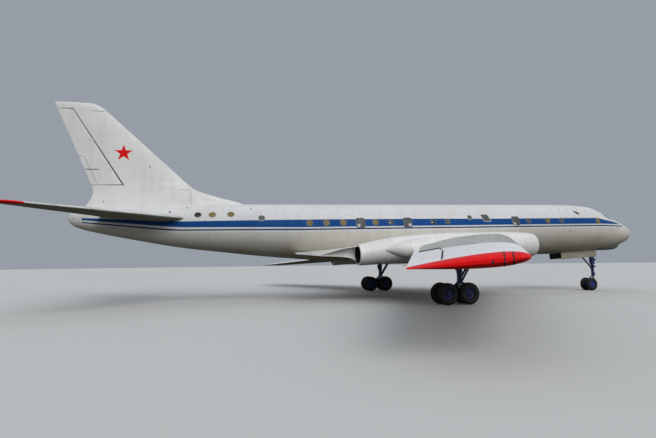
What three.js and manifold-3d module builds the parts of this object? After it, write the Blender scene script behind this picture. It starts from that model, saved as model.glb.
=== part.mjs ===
// Narrow-body airliner with two jets in the wing roots, parked on its wheels.
// Millimetres. +X runs to the nose, -Y is starboard, +Z is up, and Z = 0 is the ground.
// X = 0 is half way along the whole aircraft. The airframe stands a little nose-up on its wheels.

import * as THREE from 'three';
import { mergeVertices } from 'three/addons/utils/BufferGeometryUtils.js';
import Module from 'manifold-3d';

const wasm = await Module();
wasm.setup();

// Driving dimensions
const NOSE_X = 19260;
const TAIL_X = -19425;
const HALF_SPAN = 17270;
const BARREL_RADIUS = 1750;
const GEAR_TRACK = 11320;
const FIT_GAP = 0.3;
const RUNNING_GAP = 0.5;
const BORE_GAP = 0.95;
const MOVING_GAP = 12;

// The wheels' lowest points, measured from the barrel's axis. They set how the aircraft stands.
const STANCE = { mainX: 976, mainDrop: 4143, noseX: 15160, noseDrop: 4457, centreShift: 159.5 };

// Colours
const WHITE = 0xe9eaec;
const RED = 0xc01818;
const GREY = 0xb9babb;
const DARK_METAL = 0x3a3c40;
const LEG_BLUE = 0x1b3157;
const RUBBER = 0x16171a;
const GLASS = 0x20262c;

const radians = THREE.MathUtils.degToRad;

// Solids

function signedVolume(positions, index) {
  const a = new THREE.Vector3();
  const b = new THREE.Vector3();
  const c = new THREE.Vector3();
  let sum = 0;
  for (let i = 0; i < index.length; i += 3) {
    a.fromArray(positions, index[i] * 3);
    b.fromArray(positions, index[i + 1] * 3);
    c.fromArray(positions, index[i + 2] * 3);
    sum += a.dot(b.cross(c));
  }
  return sum / 6;
}

// A closed shape's shared corners are merged, its flat triangles dropped and its faces turned out.
function solidFrom(geometry) {
  const bare = geometry.clone();
  bare.deleteAttribute('normal');
  bare.deleteAttribute('uv');
  const merged = mergeVertices(bare, 0.01);
  const positions = merged.attributes.position.array;
  const corners = merged.index.array;
  const index = [];
  for (let i = 0; i < corners.length; i += 3) {
    const [a, b, c] = [corners[i], corners[i + 1], corners[i + 2]];
    if (a !== b && b !== c && c !== a) index.push(a, b, c);
  }
  if (signedVolume(positions, index) < 0) index.reverse();
  const mesh = new wasm.Mesh({
    numProp: 3,
    vertProperties: new Float32Array(positions),
    triVerts: new Uint32Array(index),
  });
  return new wasm.Manifold(mesh);
}

function geometryFrom(solid) {
  const mesh = solid.getMesh();
  const geometry = new THREE.BufferGeometry();
  geometry.setAttribute('position', new THREE.BufferAttribute(new Float32Array(mesh.vertProperties), 3));
  geometry.setIndex(new THREE.BufferAttribute(new Uint32Array(mesh.triVerts), 1));
  return geometry;
}

function moved(solid, matrix) {
  return solidFrom(geometryFrom(solid).applyMatrix4(matrix));
}

function mirrored(solid) {
  return moved(solid, new THREE.Matrix4().makeScale(1, -1, 1));
}

// Rings of corners joined one to the next, with a fan over each end
function loft(rings) {
  const count = rings[0].length;
  const corners = rings.flat();
  const index = [];
  for (let ring = 0; ring + 1 < rings.length; ring += 1) {
    for (let i = 0; i < count; i += 1) {
      const a = ring * count + i;
      const b = ring * count + (i + 1) % count;
      index.push(a, b, b + count, a, b + count, a + count);
    }
  }
  for (const [ring, turn] of [[0, 1], [rings.length - 1, 0]]) {
    const centre = new THREE.Vector3();
    rings[ring].forEach((corner) => centre.add(corner));
    corners.push(centre.divideScalar(count));
    const hub = corners.length - 1;
    for (let i = 0; i < count; i += 1) {
      const a = ring * count + i;
      const b = ring * count + (i + 1) % count;
      if (turn) index.push(b, a, hub);
      else index.push(a, b, hub);
    }
  }
  const geometry = new THREE.BufferGeometry().setFromPoints(corners);
  geometry.setIndex(index);
  return solidFrom(geometry);
}

function box(low, high) {
  const size = high.map((value, i) => value - low[i]);
  const geometry = new THREE.BoxGeometry(...size);
  geometry.translate(low[0] + size[0] / 2, low[1] + size[1] / 2, low[2] + size[2] / 2);
  return solidFrom(geometry);
}

// A round bar between two points, which may taper
function bar(start, end, startRadius, endRadius = startRadius, sides = 16) {
  const from = new THREE.Vector3(...start);
  const to = new THREE.Vector3(...end);
  const along = to.clone().sub(from);
  const geometry = new THREE.CylinderGeometry(endRadius, startRadius, along.length(), sides);
  const turn = new THREE.Quaternion();
  turn.setFromUnitVectors(new THREE.Vector3(0, 1, 0), along.clone().normalize());
  geometry.applyQuaternion(turn);
  const middle = from.add(to).multiplyScalar(0.5);
  geometry.translate(middle.x, middle.y, middle.z);
  return solidFrom(geometry);
}

// An outline drawn in plan, X and Y, made a block from one height to another
function planBlock(outline, low, high) {
  const shape = new THREE.Shape(outline.map(([x, y]) => new THREE.Vector2(x, y)));
  const geometry = new THREE.ExtrudeGeometry(shape, { depth: high - low, bevelEnabled: false });
  geometry.translate(0, 0, low);
  return solidFrom(geometry);
}

// An outline drawn from the side, X and Z, made a block from one Y to another
function sideBlock(outline, low, high) {
  const shape = new THREE.Shape(outline.map(([x, z]) => new THREE.Vector2(x, z)));
  const geometry = new THREE.ExtrudeGeometry(shape, { depth: high - low, bevelEnabled: false });
  geometry.rotateX(Math.PI / 2);
  geometry.translate(0, high, 0);
  return solidFrom(geometry);
}

function joined(...solids) {
  return solids.reduce((sum, solid) => sum.add(solid));
}

function cut(solid, ...cutters) {
  return cutters.reduce((rest, cutter) => rest.subtract(cutter), solid);
}

// The scene graph

// The airframe's own frame has the barrel's axis along X at Z = 0. It is pitched so that a line under
// its wheels is level.
const pitch = Math.atan2(STANCE.noseDrop - STANCE.mainDrop, STANCE.noseX - STANCE.mainX);
const axisHeight = STANCE.mainDrop * Math.cos(pitch) - STANCE.mainX * Math.sin(pitch);
const aircraft = new THREE.Group();
const airframe = new THREE.Group();
airframe.rotation.y = -pitch;
airframe.position.set(STANCE.centreShift, 0, axisHeight);
airframe.updateMatrix();
aircraft.add(airframe);

const toGround = airframe.matrix;
const toAirframe = airframe.matrix.clone().invert();

// Where a place on the airframe's centre line stands along the ground
function groundX(x, z) {
  return new THREE.Vector3(x, 0, z).applyMatrix4(toGround).x;
}

function piece(parent, name, solid, color, roughness = 0.5, metalness = 0.1) {
  const material = new THREE.MeshStandardMaterial({ color, roughness, metalness });
  const mesh = new THREE.Mesh(geometryFrom(solid), material);
  mesh.name = name;
  parent.add(mesh);
  return mesh;
}

const LEG_SIDES = 20;
const PIN_SIDES = 12;
const SIDES = [
  { tag: 'right', sign: -1 },
  { tag: 'left', sign: 1 },
];

// Fuselage: the airframe's own Z = 0 is the barrel's axis, and the barrel is straight between two joints.
const NOSE_JOINT_X = 11500;
const REAR_JOINT_X = -4000;
// Columns: x, top, bottom, half width
const NOSE_SECTIONS = [
  [NOSE_X, -400, -540, 70],
  [19215, -260, -640, 190],
  [19080, -145, -730, 295],
  [18740, 120, -960, 540],
  [18350, 325, -1120, 725],
  [17970, 485, -1250, 870],
  [17430, 685, -1390, 1050],
  [16840, 910, -1480, 1200],
  [16320, 1165, -1550, 1355],
  [15710, 1420, -1620, 1520],
  [15080, 1610, -1670, 1650],
  [14170, 1680, -1720, 1720],
  [13180, 1740, -1750, 1748],
  [NOSE_JOINT_X, BARREL_RADIUS, -BARREL_RADIUS, BARREL_RADIUS],
];
const REAR_SECTIONS = [
  [REAR_JOINT_X, BARREL_RADIUS, -BARREL_RADIUS, BARREL_RADIUS],
  [-6100, 1750, -1560, 1690],
  [-8300, 1750, -1330, 1570],
  [-9930, 1750, -1120, 1450],
  [-12700, 1740, -740, 1200],
  [-15200, 1730, -250, 930],
  [-17280, 1700, 220, 620],
  [-17900, 1620, 400, 480],
  [-18300, 1450, 580, 340],
  [-18500, 1250, 760, 190],
  [-18560, 1090, 900, 90],
];
const FUSELAGE_SIDES = 32;

function fuselageRing([x, top, bottom, half], grow = 0) {
  const middle = (top + bottom) / 2;
  const rise = (top - bottom) / 2 + grow;
  const ring = [];
  for (let i = 0; i < FUSELAGE_SIDES; i += 1) {
    const angle = (i + 0.5) / FUSELAGE_SIDES * 2 * Math.PI;
    ring.push(new THREE.Vector3(x, (half + grow) * Math.cos(angle), middle + rise * Math.sin(angle)));
  }
  return ring;
}

function fuselageLoft(sections, grow = 0) {
  return loft(sections.map((section) => fuselageRing(section, grow)));
}

const wholeSections = [...NOSE_SECTIONS, ...REAR_SECTIONS];
const fuselageClear = fuselageLoft(wholeSections, FIT_GAP);

// Passenger doors, both on the port side, curved to the barrel and hinged at their front edge
const DOOR = {
  height: 1660, width: 800, middle: 60, thick: 55, edgeGap: 30, backGap: 40, pin: 30, pinStandOff: 12,
  inner: 700, outer: 2600,
};
const DOORS = [
  { name: 'door_front', hinge: 12900, half: 1750 },
  { name: 'door_rear', hinge: -8700, half: 1552 },
];
// A door hinge: how far apart its two knuckles are, and how far its arm and its bracket reach
const DOOR_HINGE = {
  step: 520, length: 80, clear: 2, arm: 90, bracket: 120, depth: 190, cover: 18, sunk: 60,
};

function doorBlock(door, grow) {
  const far = door.hinge - DOOR.edgeGap - DOOR.width;
  return box(
    [far - grow, DOOR.inner, DOOR.middle - DOOR.height / 2 - grow],
    [door.hinge - DOOR.edgeGap + grow, DOOR.outer, DOOR.middle + DOOR.height / 2 + grow],
  );
}

function hingeY(door) {
  return door.half + DOOR.pin + DOOR.pinStandOff;
}

// The fixed knuckle stands in front of the pin, and the door's arm turns on the same pin below it.
function doorHinges(door, onDoor) {
  const y = hingeY(door);
  const parts = [];
  for (const step of [-DOOR_HINGE.step, DOOR_HINGE.step]) {
    const base = DOOR.middle + step;
    const low = onDoor ? base - DOOR_HINGE.length : base + RUNNING_GAP;
    const high = onDoor ? base : base + DOOR_HINGE.length;
    const reach = onDoor ? -DOOR.edgeGap - DOOR_HINGE.arm : DOOR_HINGE.bracket;
    parts.push(bar([door.hinge, y, low], [door.hinge, y, high], DOOR.pin, DOOR.pin, PIN_SIDES));
    const start = onDoor ? door.hinge - DOOR_HINGE.clear : door.hinge;
    const xs = [start, door.hinge + reach].sort((a, b) => a - b);
    parts.push(box([xs[0], door.half - DOOR_HINGE.depth, low], [xs[1], y + DOOR_HINGE.cover, high]));
  }
  return joined(...parts);
}

function doorSolid(door, sections) {
  const outer = fuselageLoft(sections);
  const panel = cut(outer.intersect(doorBlock(door, 0)), fuselageLoft(sections, -DOOR.thick));
  const arms = cut(doorHinges(door, true), fuselageLoft(sections, -DOOR.thick * 0.5));
  return joined(panel, arms);
}

function doorRecess(door, sections) {
  return cut(doorBlock(door, DOOR.edgeGap), fuselageLoft(sections, -DOOR.thick - DOOR.backGap));
}

// Nose wheel bay with its two doors, hung from hinges along its edges
const BAY = { front: 15950, rear: 12450, half: 560, roof: -900, low: -2200 };
const BAY_DOOR = {
  front: 15520, rear: 12490, topFront: -1585, topRear: -1690, depth: 465, thick: 26, y: 536, knuckle: 18,
  slack: 1,
};
const BAY_LUG = { length: 60, inset: 300, narrower: 3, below: 12, above: 110, wall: 60 };
// The doors are notched round the lugs.
const BAY_NOTCH = { along: 20, across: 60, low: -1800, high: -1500 };
const BAY_LUG_STARTS = [BAY_DOOR.rear + BAY_LUG.inset, BAY_DOOR.front - BAY_LUG.inset];

function bayHingePoint(x, y) {
  const share = (x - BAY_DOOR.rear) / (BAY_DOOR.front - BAY_DOOR.rear);
  return [x, y, THREE.MathUtils.lerp(BAY_DOOR.topRear, BAY_DOOR.topFront, share)];
}

const bayLugs = [];
for (const sign of [-1, 1]) {
  for (const x of BAY_LUG_STARTS) {
    const start = bayHingePoint(x, sign * BAY_DOOR.y);
    const end = bayHingePoint(x + BAY_LUG.length, sign * BAY_DOOR.y);
    const wall = [BAY_DOOR.y, BAY.half + BAY_LUG.wall].map((y) => sign * y).sort((a, b) => a - b);
    bayLugs.push(bar(start, end, BAY_DOOR.knuckle, BAY_DOOR.knuckle, PIN_SIDES));
    bayLugs.push(box(
      [x + BAY_LUG.narrower, wall[0], start[2] - BAY_LUG.below],
      [x + BAY_LUG.length - BAY_LUG.narrower, wall[1], start[2] + BAY_LUG.above],
    ));
  }
}

const noseBay = box([BAY.rear, -BAY.half, BAY.low], [BAY.front, BAY.half, BAY.roof]);

const frontDoor = DOORS[0];
const rearDoor = DOORS[1];

// The windscreen is one band of panes let into the nose above the eyebrow line.
const SCREEN = {
  depth: 40,
  half: 1300,
  middle: [16400, 1020],
  outline: [
    [16800, 600], [16900, 1000], [16600, 1450], [16000, 1450], [15900, 1180], [15950, 880],
  ],
  slot: 1.002,
};

function screenBlock(scale) {
  const [x0, z0] = SCREEN.middle;
  const outline = SCREEN.outline.map(([x, z]) => [x0 + (x - x0) * scale, z0 + (z - z0) * scale]);
  return sideBlock(outline, -SCREEN.half, SCREEN.half);
}

const noseOuter = fuselageLoft(NOSE_SECTIONS);
const noseInner = fuselageLoft(NOSE_SECTIONS, -SCREEN.depth);
const glazing = cut(noseOuter.intersect(screenBlock(1)), noseInner);
const glazingSlot = cut(screenBlock(SCREEN.slot), fuselageLoft(NOSE_SECTIONS, -SCREEN.depth - FIT_GAP));

const noseBody = joined(
  cut(
    noseOuter,
    noseBay,
    doorRecess(frontDoor, NOSE_SECTIONS),
    glazingSlot,
  ),
  ...bayLugs,
  cut(doorHinges(frontDoor, false), fuselageLoft(NOSE_SECTIONS, -DOOR_HINGE.sunk)),
);

// The barrel's straight part, with a jacking pad standing out below it
const NOSE_PAD = { x: 10200, top: -1700, bottom: -1790, radius: 70 };
const jackPadNose = bar(
  [NOSE_PAD.x, 0, NOSE_PAD.top],
  [NOSE_PAD.x, 0, NOSE_PAD.bottom],
  NOSE_PAD.radius,
);
const barrelEnds = [NOSE_JOINT_X - FIT_GAP, REAR_JOINT_X + FIT_GAP];
const centreBody = joined(
  fuselageLoft(barrelEnds.map((x) => [x, BARREL_RADIUS, -BARREL_RADIUS, BARREL_RADIUS])),
  jackPadNose,
);

// Fin, with its dorsal fairing, and the rudder behind it. Both are drawn from the side.
const FIN = {
  rootLead: -10930, rootZ: 1500, tipLead: -16930, tipZ: 7200, capZ: 7500,
  rootTrail: -17480, tipTrail: TAIL_X, rudderLow: 2820, ratio: 0.1,
};
// The fin's foot flares aft below the rudder. Columns: height, trailing edge
const FIN_FOOT = [
  [1450, -17930],
  [1750, -17700],
  [2100, -17500],
  [2450, -17400],
];

// Half thickness of a wing section at a share of its chord
function halfThickness(share, ratio) {
  const s = Math.min(Math.max(share, 0), 1);
  const curve = 0.2969 * Math.sqrt(s) - 0.126 * s - 0.3516 * s ** 2 + 0.2843 * s ** 3 - 0.1015 * s ** 4;
  return 5 * ratio * curve;
}

// A cove is a little larger than the round nose that turns in it.
const COVE = { growth: 1.09, clear: 10, noseShare: 0.97, pinShare: 0.25 };

const CHORD_SHARES = [1, 0.78, 0.55, 0.34, 0.17, 0.06, 0.012];
const EDGE_HALF = 6;
// A cutting block reaches from the hinge line back past every trailing edge.
const CUTTER = { aft: -30000, half: 3000 };

// One section of a wing or tail: local X along the chord, Z through the thickness
function wingSection({ lead, trail, span, height = 0, ratio, twist = 0 }, grow = 0) {
  const chord = lead - trail;
  const place = (share, side) => {
    const x = lead - share * chord - (share === 1 ? grow : 0);
    const thick = Math.max(halfThickness(share, ratio) * chord, EDGE_HALF) + grow;
    return new THREE.Vector3(x, span, height + (0.25 - share) * chord * Math.tan(twist) + side * thick);
  };
  const upper = CHORD_SHARES.map((share) => place(share, 1));
  const nose = new THREE.Vector3(lead + grow, span, height + 0.25 * chord * Math.tan(twist));
  const lower = [...CHORD_SHARES].reverse().map((share) => place(share, -1));
  return [...upper, nose, ...lower];
}

// How far a surface's ends travel along the span when it turns about its swept hinge: its corners beside
// the hinge at the inner end, and its corner at the trailing edge at the outer end
function endTravel(a, b, sectionAt, { outer, share, travel }) {
  const sweep = Math.atan2(a.x - b.x, b.y - a.y);
  const turn = radians(travel);
  const { lead, trail } = sectionAt(outer);
  return {
    inner: a.radius * Math.sin(sweep) * Math.sin(turn),
    outer: (1 - share) * (lead - trail) * Math.sin(sweep) * Math.cos(sweep) * (1 - Math.cos(turn)),
  };
}

// A hinged surface along the trailing edge. The wing gets a round cove and the surface a round nose.
// Local frame: X along the chord, Y along the span. Travel is the largest angle it turns by.
function trailingSurface(wing, sectionAt, surfacePlan) {
  const { inner, outer, share, fixed = false } = surfacePlan;
  const gap = fixed ? FIT_GAP : MOVING_GAP;
  const hinge = [inner, outer].map((span) => {
    const { lead, trail, height = 0, ratio, twist = 0 } = sectionAt(span);
    const chord = lead - trail;
    return {
      x: lead - share * chord,
      y: span,
      z: height + (0.25 - share) * chord * Math.tan(twist),
      radius: halfThickness(share, ratio) * chord,
    };
  });
  const [a, b] = hinge;
  const slope = (b.x - a.x) / (b.y - a.y);
  const rise = (b.z - a.z) / (b.y - a.y);
  const fall = (b.radius - a.radius) / (b.y - a.y);
  const at = (y, extra) => ({
    x: a.x + slope * (y - a.y),
    z: a.z + rise * (y - a.y),
    r: (a.radius + fall * (y - a.y)) * extra,
  });
  const region = (from, to, ahead) => planBlock(
    [[at(from, 1).x + ahead, from], [at(to, 1).x + ahead, to], [CUTTER.aft, to], [CUTTER.aft, from]],
    -CUTTER.half,
    CUTTER.half,
  );
  const rod = (from, to, extra, more = 0) => {
    const p = at(from, extra);
    const q = at(to, extra);
    return bar([p.x, from, p.z], [q.x, to, q.z], p.r + more, q.r + more, PIN_SIDES);
  };
  if (fixed) {
    const block = region(inner + gap, outer - gap, -gap);
    return { surface: wing.intersect(block), wing: wing.subtract(region(inner, outer, 0)) };
  }
  const cove = joined(region(inner, outer, 0), rod(inner, outer, COVE.growth, COVE.clear));
  const ends = endTravel(a, b, sectionAt, surfacePlan);
  const from = inner + gap + ends.inner;
  const to = outer - gap - ends.outer;
  const surface = joined(
    wing.intersect(region(from, to, 0)),
    rod(from, to, COVE.noseShare),
    rod(inner + RUNNING_GAP, outer - RUNNING_GAP, COVE.pinShare),
  );
  return { surface, wing: wing.subtract(cove) };
}

// Wing: leading and trailing edges, height of its chord line, thickness ratio at a span station.
// Its tilts are how far the trailing edge lies below the leading edge, at the kink and at the tip.
const WING = {
  rootLead: 9770, innerSweep: 40.5, outerSweep: 37.5, kink: GEAR_TRACK / 2,
  trailInner: -1100, trailTip: -6900, rootHeight: -1050, anhedral: 3, incidence: 1.2,
  rootRatio: 0.125, tipRatio: 0.105, start: 2400, tipJoint: 16750, kinkTilt: 126.4, tipTilt: 153,
};

function wingAt(span) {
  const inner = Math.min(span, WING.kink);
  const outer = Math.max(span - WING.kink, 0);
  const innerFall = inner * Math.tan(radians(WING.innerSweep));
  const outerFall = outer * Math.tan(radians(WING.outerSweep));
  const outerShare = outer / (HALF_SPAN - WING.kink);
  const lead = WING.rootLead - innerFall - outerFall;
  const trail = THREE.MathUtils.lerp(WING.trailInner, WING.trailTip, outerShare);
  const tilt = THREE.MathUtils.lerp(WING.kinkTilt, WING.tipTilt, outerShare);
  return {
    span,
    lead,
    trail,
    height: WING.rootHeight - (span - BARREL_RADIUS) * Math.tan(radians(WING.anhedral)),
    ratio: THREE.MathUtils.lerp(WING.rootRatio, WING.tipRatio, span / HALF_SPAN),
    twist: outer > 0 ? Math.atan(tilt / (lead - trail)) : radians(WING.incidence),
  };
}

// Nacelle: intake, casing and nozzle along one toed-in line. Columns: x, centre y, centre z, radius
const NACELLE_SECTIONS = [
  [8230, 2780, -1150, 640],
  [8190, 2780, -1150, 700],
  [7900, 2780, -1155, 765],
  [7200, 2785, -1160, 815],
  [5600, 2795, -1170, 850],
  [2600, 2820, -1190, 860],
  [0, 2850, -1240, 800],
  [-1800, 2875, -1330, 690],
  [-3200, 2895, -1470, 560],
];
const DUCT = { radius: 600, nozzleRadius: 470, engineFront: 4200, engineRear: -900 };
const NACELLE_SIDES = 20;

function nacelleRing([x, y, z, radius], grow = 0) {
  const ring = [];
  for (let i = 0; i < NACELLE_SIDES; i += 1) {
    const angle = i / NACELLE_SIDES * 2 * Math.PI;
    const reach = radius + grow;
    ring.push(new THREE.Vector3(x, y + reach * Math.cos(angle), z + reach * Math.sin(angle)));
  }
  return ring;
}

function nacelleLoft(grow = 0) {
  return loft(NACELLE_SECTIONS.map((section) => nacelleRing(section, grow)));
}

const ductRings = [
  [8400, 2780, -1150, 640],
  [8230, 2780, -1150, 640],
  [7900, 2780, -1155, DUCT.radius],
  [DUCT.engineFront, 2805, -1180, DUCT.radius],
  [DUCT.engineRear, 2862, -1285, DUCT.radius],
  [-2000, 2877, -1350, 500],
  [-3300, 2895, -1480, DUCT.nozzleRadius],
  [-5250, 2700, -1440, 25],
];
const duct = loft(ductRings.map((ring) => nacelleRing(ring)));

// The engine is one plain block that fills the straight middle of the duct.
function engineRing(share) {
  const [front, rear] = [ductRings[3], ductRings[4]];
  const ring = front.map((value, i) => THREE.MathUtils.lerp(value, rear[i], share));
  return nacelleRing(ring, -FIT_GAP);
}

const ENGINE_ENDS = [0.08, 0.92];
const engineBlock = loft(ENGINE_ENDS.map(engineRing));

// The root fairing fills the space from the casing to the fuselage. Behind the nozzle it is a pointed
// beak, scooped out along the jet. Columns: x, outer y, outer bottom, top
const ROOT_FAIRING = [
  [7300, 2100, -1300, -1000],
  [6200, 2500, -1560, -640],
  [3000, 2800, -1700, -500],
  [-900, 2800, -1650, -620],
  [-3100, 2900, -1990, -990],
  [-3600, 2870, -1720, -1060],
  [-4400, 2800, -1570, -1130],
  [-5300, 2690, -1465, -1205],
  [-6500, 1850, -1310, -1262],
];
const FAIRING_ROOT = { y: 1200, bottom: -1230, rise: 60 };

function fairingRing([x, outerY, low, high]) {
  const root = FAIRING_ROOT;
  return [
    [root.y, root.bottom], [outerY, low], [outerY, high], [root.y, high + root.rise],
  ].map(([y, z]) => new THREE.Vector3(x, y, z));
}

const rootFairing = loft(ROOT_FAIRING.map(fairingRing));

// Gear pod: a long fairing behind and under the wing that the main legs fold into
// Columns: x, centre z, half height, half width
const POD_SECTIONS = [
  [4700, -1180, 60, 60],
  [4300, -1230, 300, 280],
  [3300, -1300, 520, 470],
  [1500, -1330, 620, 560],
  [-400, -1310, 590, 540],
  [-1500, -1290, 440, 400],
  [-2300, -1290, 220, 200],
  [-2630, -1300, 50, 50],
];

const POD_SIDES = 16;

function podRing([x, z, rise, half]) {
  const ring = [];
  for (let i = 0; i < POD_SIDES; i += 1) {
    const angle = i / POD_SIDES * 2 * Math.PI;
    ring.push(new THREE.Vector3(x, WING.kink + half * Math.cos(angle), z + rise * Math.sin(angle)));
  }
  return ring;
}

const SURFACES = {
  flapInner: { inner: 3900, outer: 4980, share: 0.8, fixed: true },
  flapOuter: { inner: 6300, outer: 11300, share: 0.76, fixed: true },
  aileron: { inner: 11450, outer: 16500, share: 0.74, travel: 20 },
};

const wingStations = [WING.start, WING.kink, WING.tipJoint].map(wingAt);
const wingFull = loft(wingStations.map((station) => wingSection(station)));
const wingClear = loft(wingStations.map((station) => wingSection(station, FIT_GAP)));
const podSolid = loft(POD_SECTIONS.map(podRing));

const flapInnerCut = trailingSurface(wingFull, wingAt, SURFACES.flapInner);
const flapOuterCut = trailingSurface(flapInnerCut.wing, wingAt, SURFACES.flapOuter);
const aileronCut = trailingSurface(flapOuterCut.wing, wingAt, SURFACES.aileron);

const nacelleOuter = joined(nacelleLoft(), rootFairing);
const nacelleClear = joined(nacelleLoft(FIT_GAP * 2), rootFairing);

// Main legs and their stays stand in round sockets in the pods.
const BOGIE = {
  x: groundX(STANCE.mainX, -STANCE.mainDrop), spacing: 1190, half: 75, rise: 95, overhang: 120,
};
const MAIN_LEG = { x: BOGIE.x + 320, radius: 105, socketTop: 2550, socketLow: 1500 };
const MAIN_STAY = { low: 1080, rise: 1220, reach: 776, radius: 55, socketGap: 3, socketMore: 0.01 };

// The stay at a given Y, grown and lengthened by a share for its socket
function mainStay(y, grow = 0, more = 0) {
  const long = 1 + more;
  return bar(
    [MAIN_LEG.x, y, MAIN_STAY.low],
    [MAIN_LEG.x + MAIN_STAY.reach * long, y, MAIN_STAY.low + MAIN_STAY.rise * long],
    MAIN_STAY.radius + grow,
    MAIN_STAY.radius + grow,
    PIN_SIDES,
  );
}

const PAD = { x: 1100, y: 8600, radius: 90, drop: 40, sunk: 200 };

function wingLower(x, y) {
  const { lead, trail, height, ratio, twist } = wingAt(y);
  const chord = lead - trail;
  const share = (lead - x) / chord;
  return height + (0.25 - share) * chord * Math.tan(twist) - halfThickness(share, ratio) * chord;
}

const padBottom = wingLower(PAD.x, PAD.y) - PAD.drop;
const wingPad = bar([PAD.x, PAD.y, padBottom + PAD.sunk], [PAD.x, PAD.y, padBottom], PAD.radius);

// Two fences stand across each wing's upper face.
const FENCES = [
  { span: 7200, rise: 320 },
  { span: 10000, rise: 350 },
];
const FENCE_THICK = 28;
const FENCE_ROOT = 20;
// A fence's outline from front to rear. Columns: share of the chord, share of the fence's rise
const FENCE_OUTLINE = [
  [0.005, 0],
  [0.06, 0.35],
  [0.16, 0.88],
  [0.3, 1],
  [0.5, 1],
  [0.65, 0.93],
  [0.75, 0.8],
];

function fence({ span, rise }) {
  const { lead, trail, height, ratio, twist } = wingAt(span);
  const chord = lead - trail;
  const outline = FENCE_OUTLINE.map(([share, level]) => {
    const crest = height + (0.25 - share) * chord * Math.tan(twist) + halfThickness(share, ratio) * chord;
    return [lead - share * chord, crest + rise * level];
  });
  const front = outline[0][0];
  const rear = outline[outline.length - 1][0];
  outline.push([rear, height - FENCE_ROOT], [front, height - FENCE_ROOT]);
  return sideBlock(outline, span - FENCE_THICK / 2, span + FENCE_THICK / 2);
}

const wingRight = joined(
  cut(aileronCut.wing, nacelleClear),
  ...FENCES.map(fence),
  wingPad,
);

function largestPart(solid) {
  const parts = solid.decompose();
  return parts.sort((a, b) => b.volume() - a.volume())[0];
}

// A wing or tail section that is thinner, and starts and ends nearer the middle, than its plan says
function tapered(station, { thinner, lead = 0, trail = 0 }) {
  return {
    ...station,
    ratio: station.ratio * thinner,
    lead: station.lead - lead,
    trail: station.trail + trail,
  };
}

const WING_TIP = { shoulder: 220, shoulderThinner: 0.85, thinner: 0.3, lead: 260, trail: 40 };
const wingTipSections = [
  wingAt(WING.tipJoint + FIT_GAP),
  tapered(wingAt(HALF_SPAN - WING_TIP.shoulder), { thinner: WING_TIP.shoulderThinner }),
  tapered(wingAt(HALF_SPAN), WING_TIP),
];
const wingTip = loft(wingTipSections.map((station) => wingSection(station)));

const podCut = cut(podSolid, wingClear, nacelleClear);
const legSocket = moved(
  bar(
    [MAIN_LEG.x, WING.kink, MAIN_LEG.socketLow],
    [MAIN_LEG.x, WING.kink, MAIN_LEG.socketTop],
    MAIN_LEG.radius + FIT_GAP,
    MAIN_LEG.radius + FIT_GAP,
    LEG_SIDES,
  ),
  toAirframe,
);
const staySocket = moved(mainStay(WING.kink, MAIN_STAY.socketGap, MAIN_STAY.socketMore), toAirframe);

const starboard = {
  wing: largestPart(wingRight),
  wing_tip: wingTip,
  flap_inner: cut(flapInnerCut.surface, nacelleClear),
  flap_outer: flapOuterCut.surface,
  aileron: aileronCut.surface,
  nacelle: cut(nacelleOuter, fuselageClear, duct),
  engine: engineBlock,
  gear_pod: cut(largestPart(podCut), legSocket, staySocket),
};

const NODE_COLOURS = {
  wing: WHITE,
  wing_tip: RED,
  flap_inner: WHITE,
  flap_outer: WHITE,
  aileron: WHITE,
  nacelle: WHITE,
  engine: DARK_METAL,
  gear_pod: WHITE,
};

for (const { tag, sign } of SIDES) {
  for (const [name, solid] of Object.entries(starboard)) {
    const shape = sign < 0 ? mirrored(solid) : solid;
    piece(airframe, `${name}_${tag}`, shape, NODE_COLOURS[name]);
  }
}

// Fin and rudder, built lying down and turned up
function finAt(span) {
  const leadShare = (span - FIN.rootZ) / (FIN.tipZ - FIN.rootZ);
  const trailShare = Math.max(span - FIN.rudderLow, 0) / (FIN.capZ - FIN.rudderLow);
  return {
    span,
    lead: THREE.MathUtils.lerp(FIN.rootLead, FIN.tipLead, leadShare),
    trail: THREE.MathUtils.lerp(FIN.rootTrail, FIN.tipTrail, trailShare),
    ratio: FIN.ratio,
  };
}

const RUDDER = { inner: FIN.rudderLow, outer: 7150, share: 0.69, travel: 25 };
const FIN_TOP = { thinner: 0.4, lead: 330 };
const finTop = tapered(finAt(FIN.capZ), FIN_TOP);
const finFoot = FIN_FOOT.map(([span, trail]) => ({ ...finAt(span), trail }));
const finStations = [...finFoot, finAt(FIN.rudderLow), finAt(FIN.tipZ), finTop];
const finFull = loft(finStations.map((station) => wingSection(station)));
const rudderCut = trailingSurface(finFull, finAt, RUDDER);
const upright = new THREE.Matrix4().makeRotationX(Math.PI / 2);
const DORSAL = {
  half: 45,
  outline: [[-9200, 1700], [-11840, 2470], [-12540, 2960], [-13400, 2960], [-13400, 1400], [-9200, 1400]],
};
const dorsal = sideBlock(DORSAL.outline, -DORSAL.half, DORSAL.half);
const fin = largestPart(cut(joined(moved(rudderCut.wing, upright), dorsal), fuselageClear));
piece(airframe, 'fin', fin, WHITE);
piece(airframe, 'rudder', moved(rudderCut.surface, upright), WHITE);

// Tailplanes and elevators
const TAIL = {
  rootLead: -12400, rootTrail: -16980, rootY: 1000, height: 885, incidence: -2,
  leadSweep: 43.5, trailSweep: 22, start: 500, tipJoint: 6720, tip: 7300, ratio: 0.095,
};

function tailAt(span) {
  const out = span - TAIL.rootY;
  return {
    span,
    lead: TAIL.rootLead - out * Math.tan(radians(TAIL.leadSweep)),
    trail: TAIL.rootTrail - out * Math.tan(radians(TAIL.trailSweep)),
    height: TAIL.height,
    ratio: TAIL.ratio,
    twist: radians(TAIL.incidence),
  };
}

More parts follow.
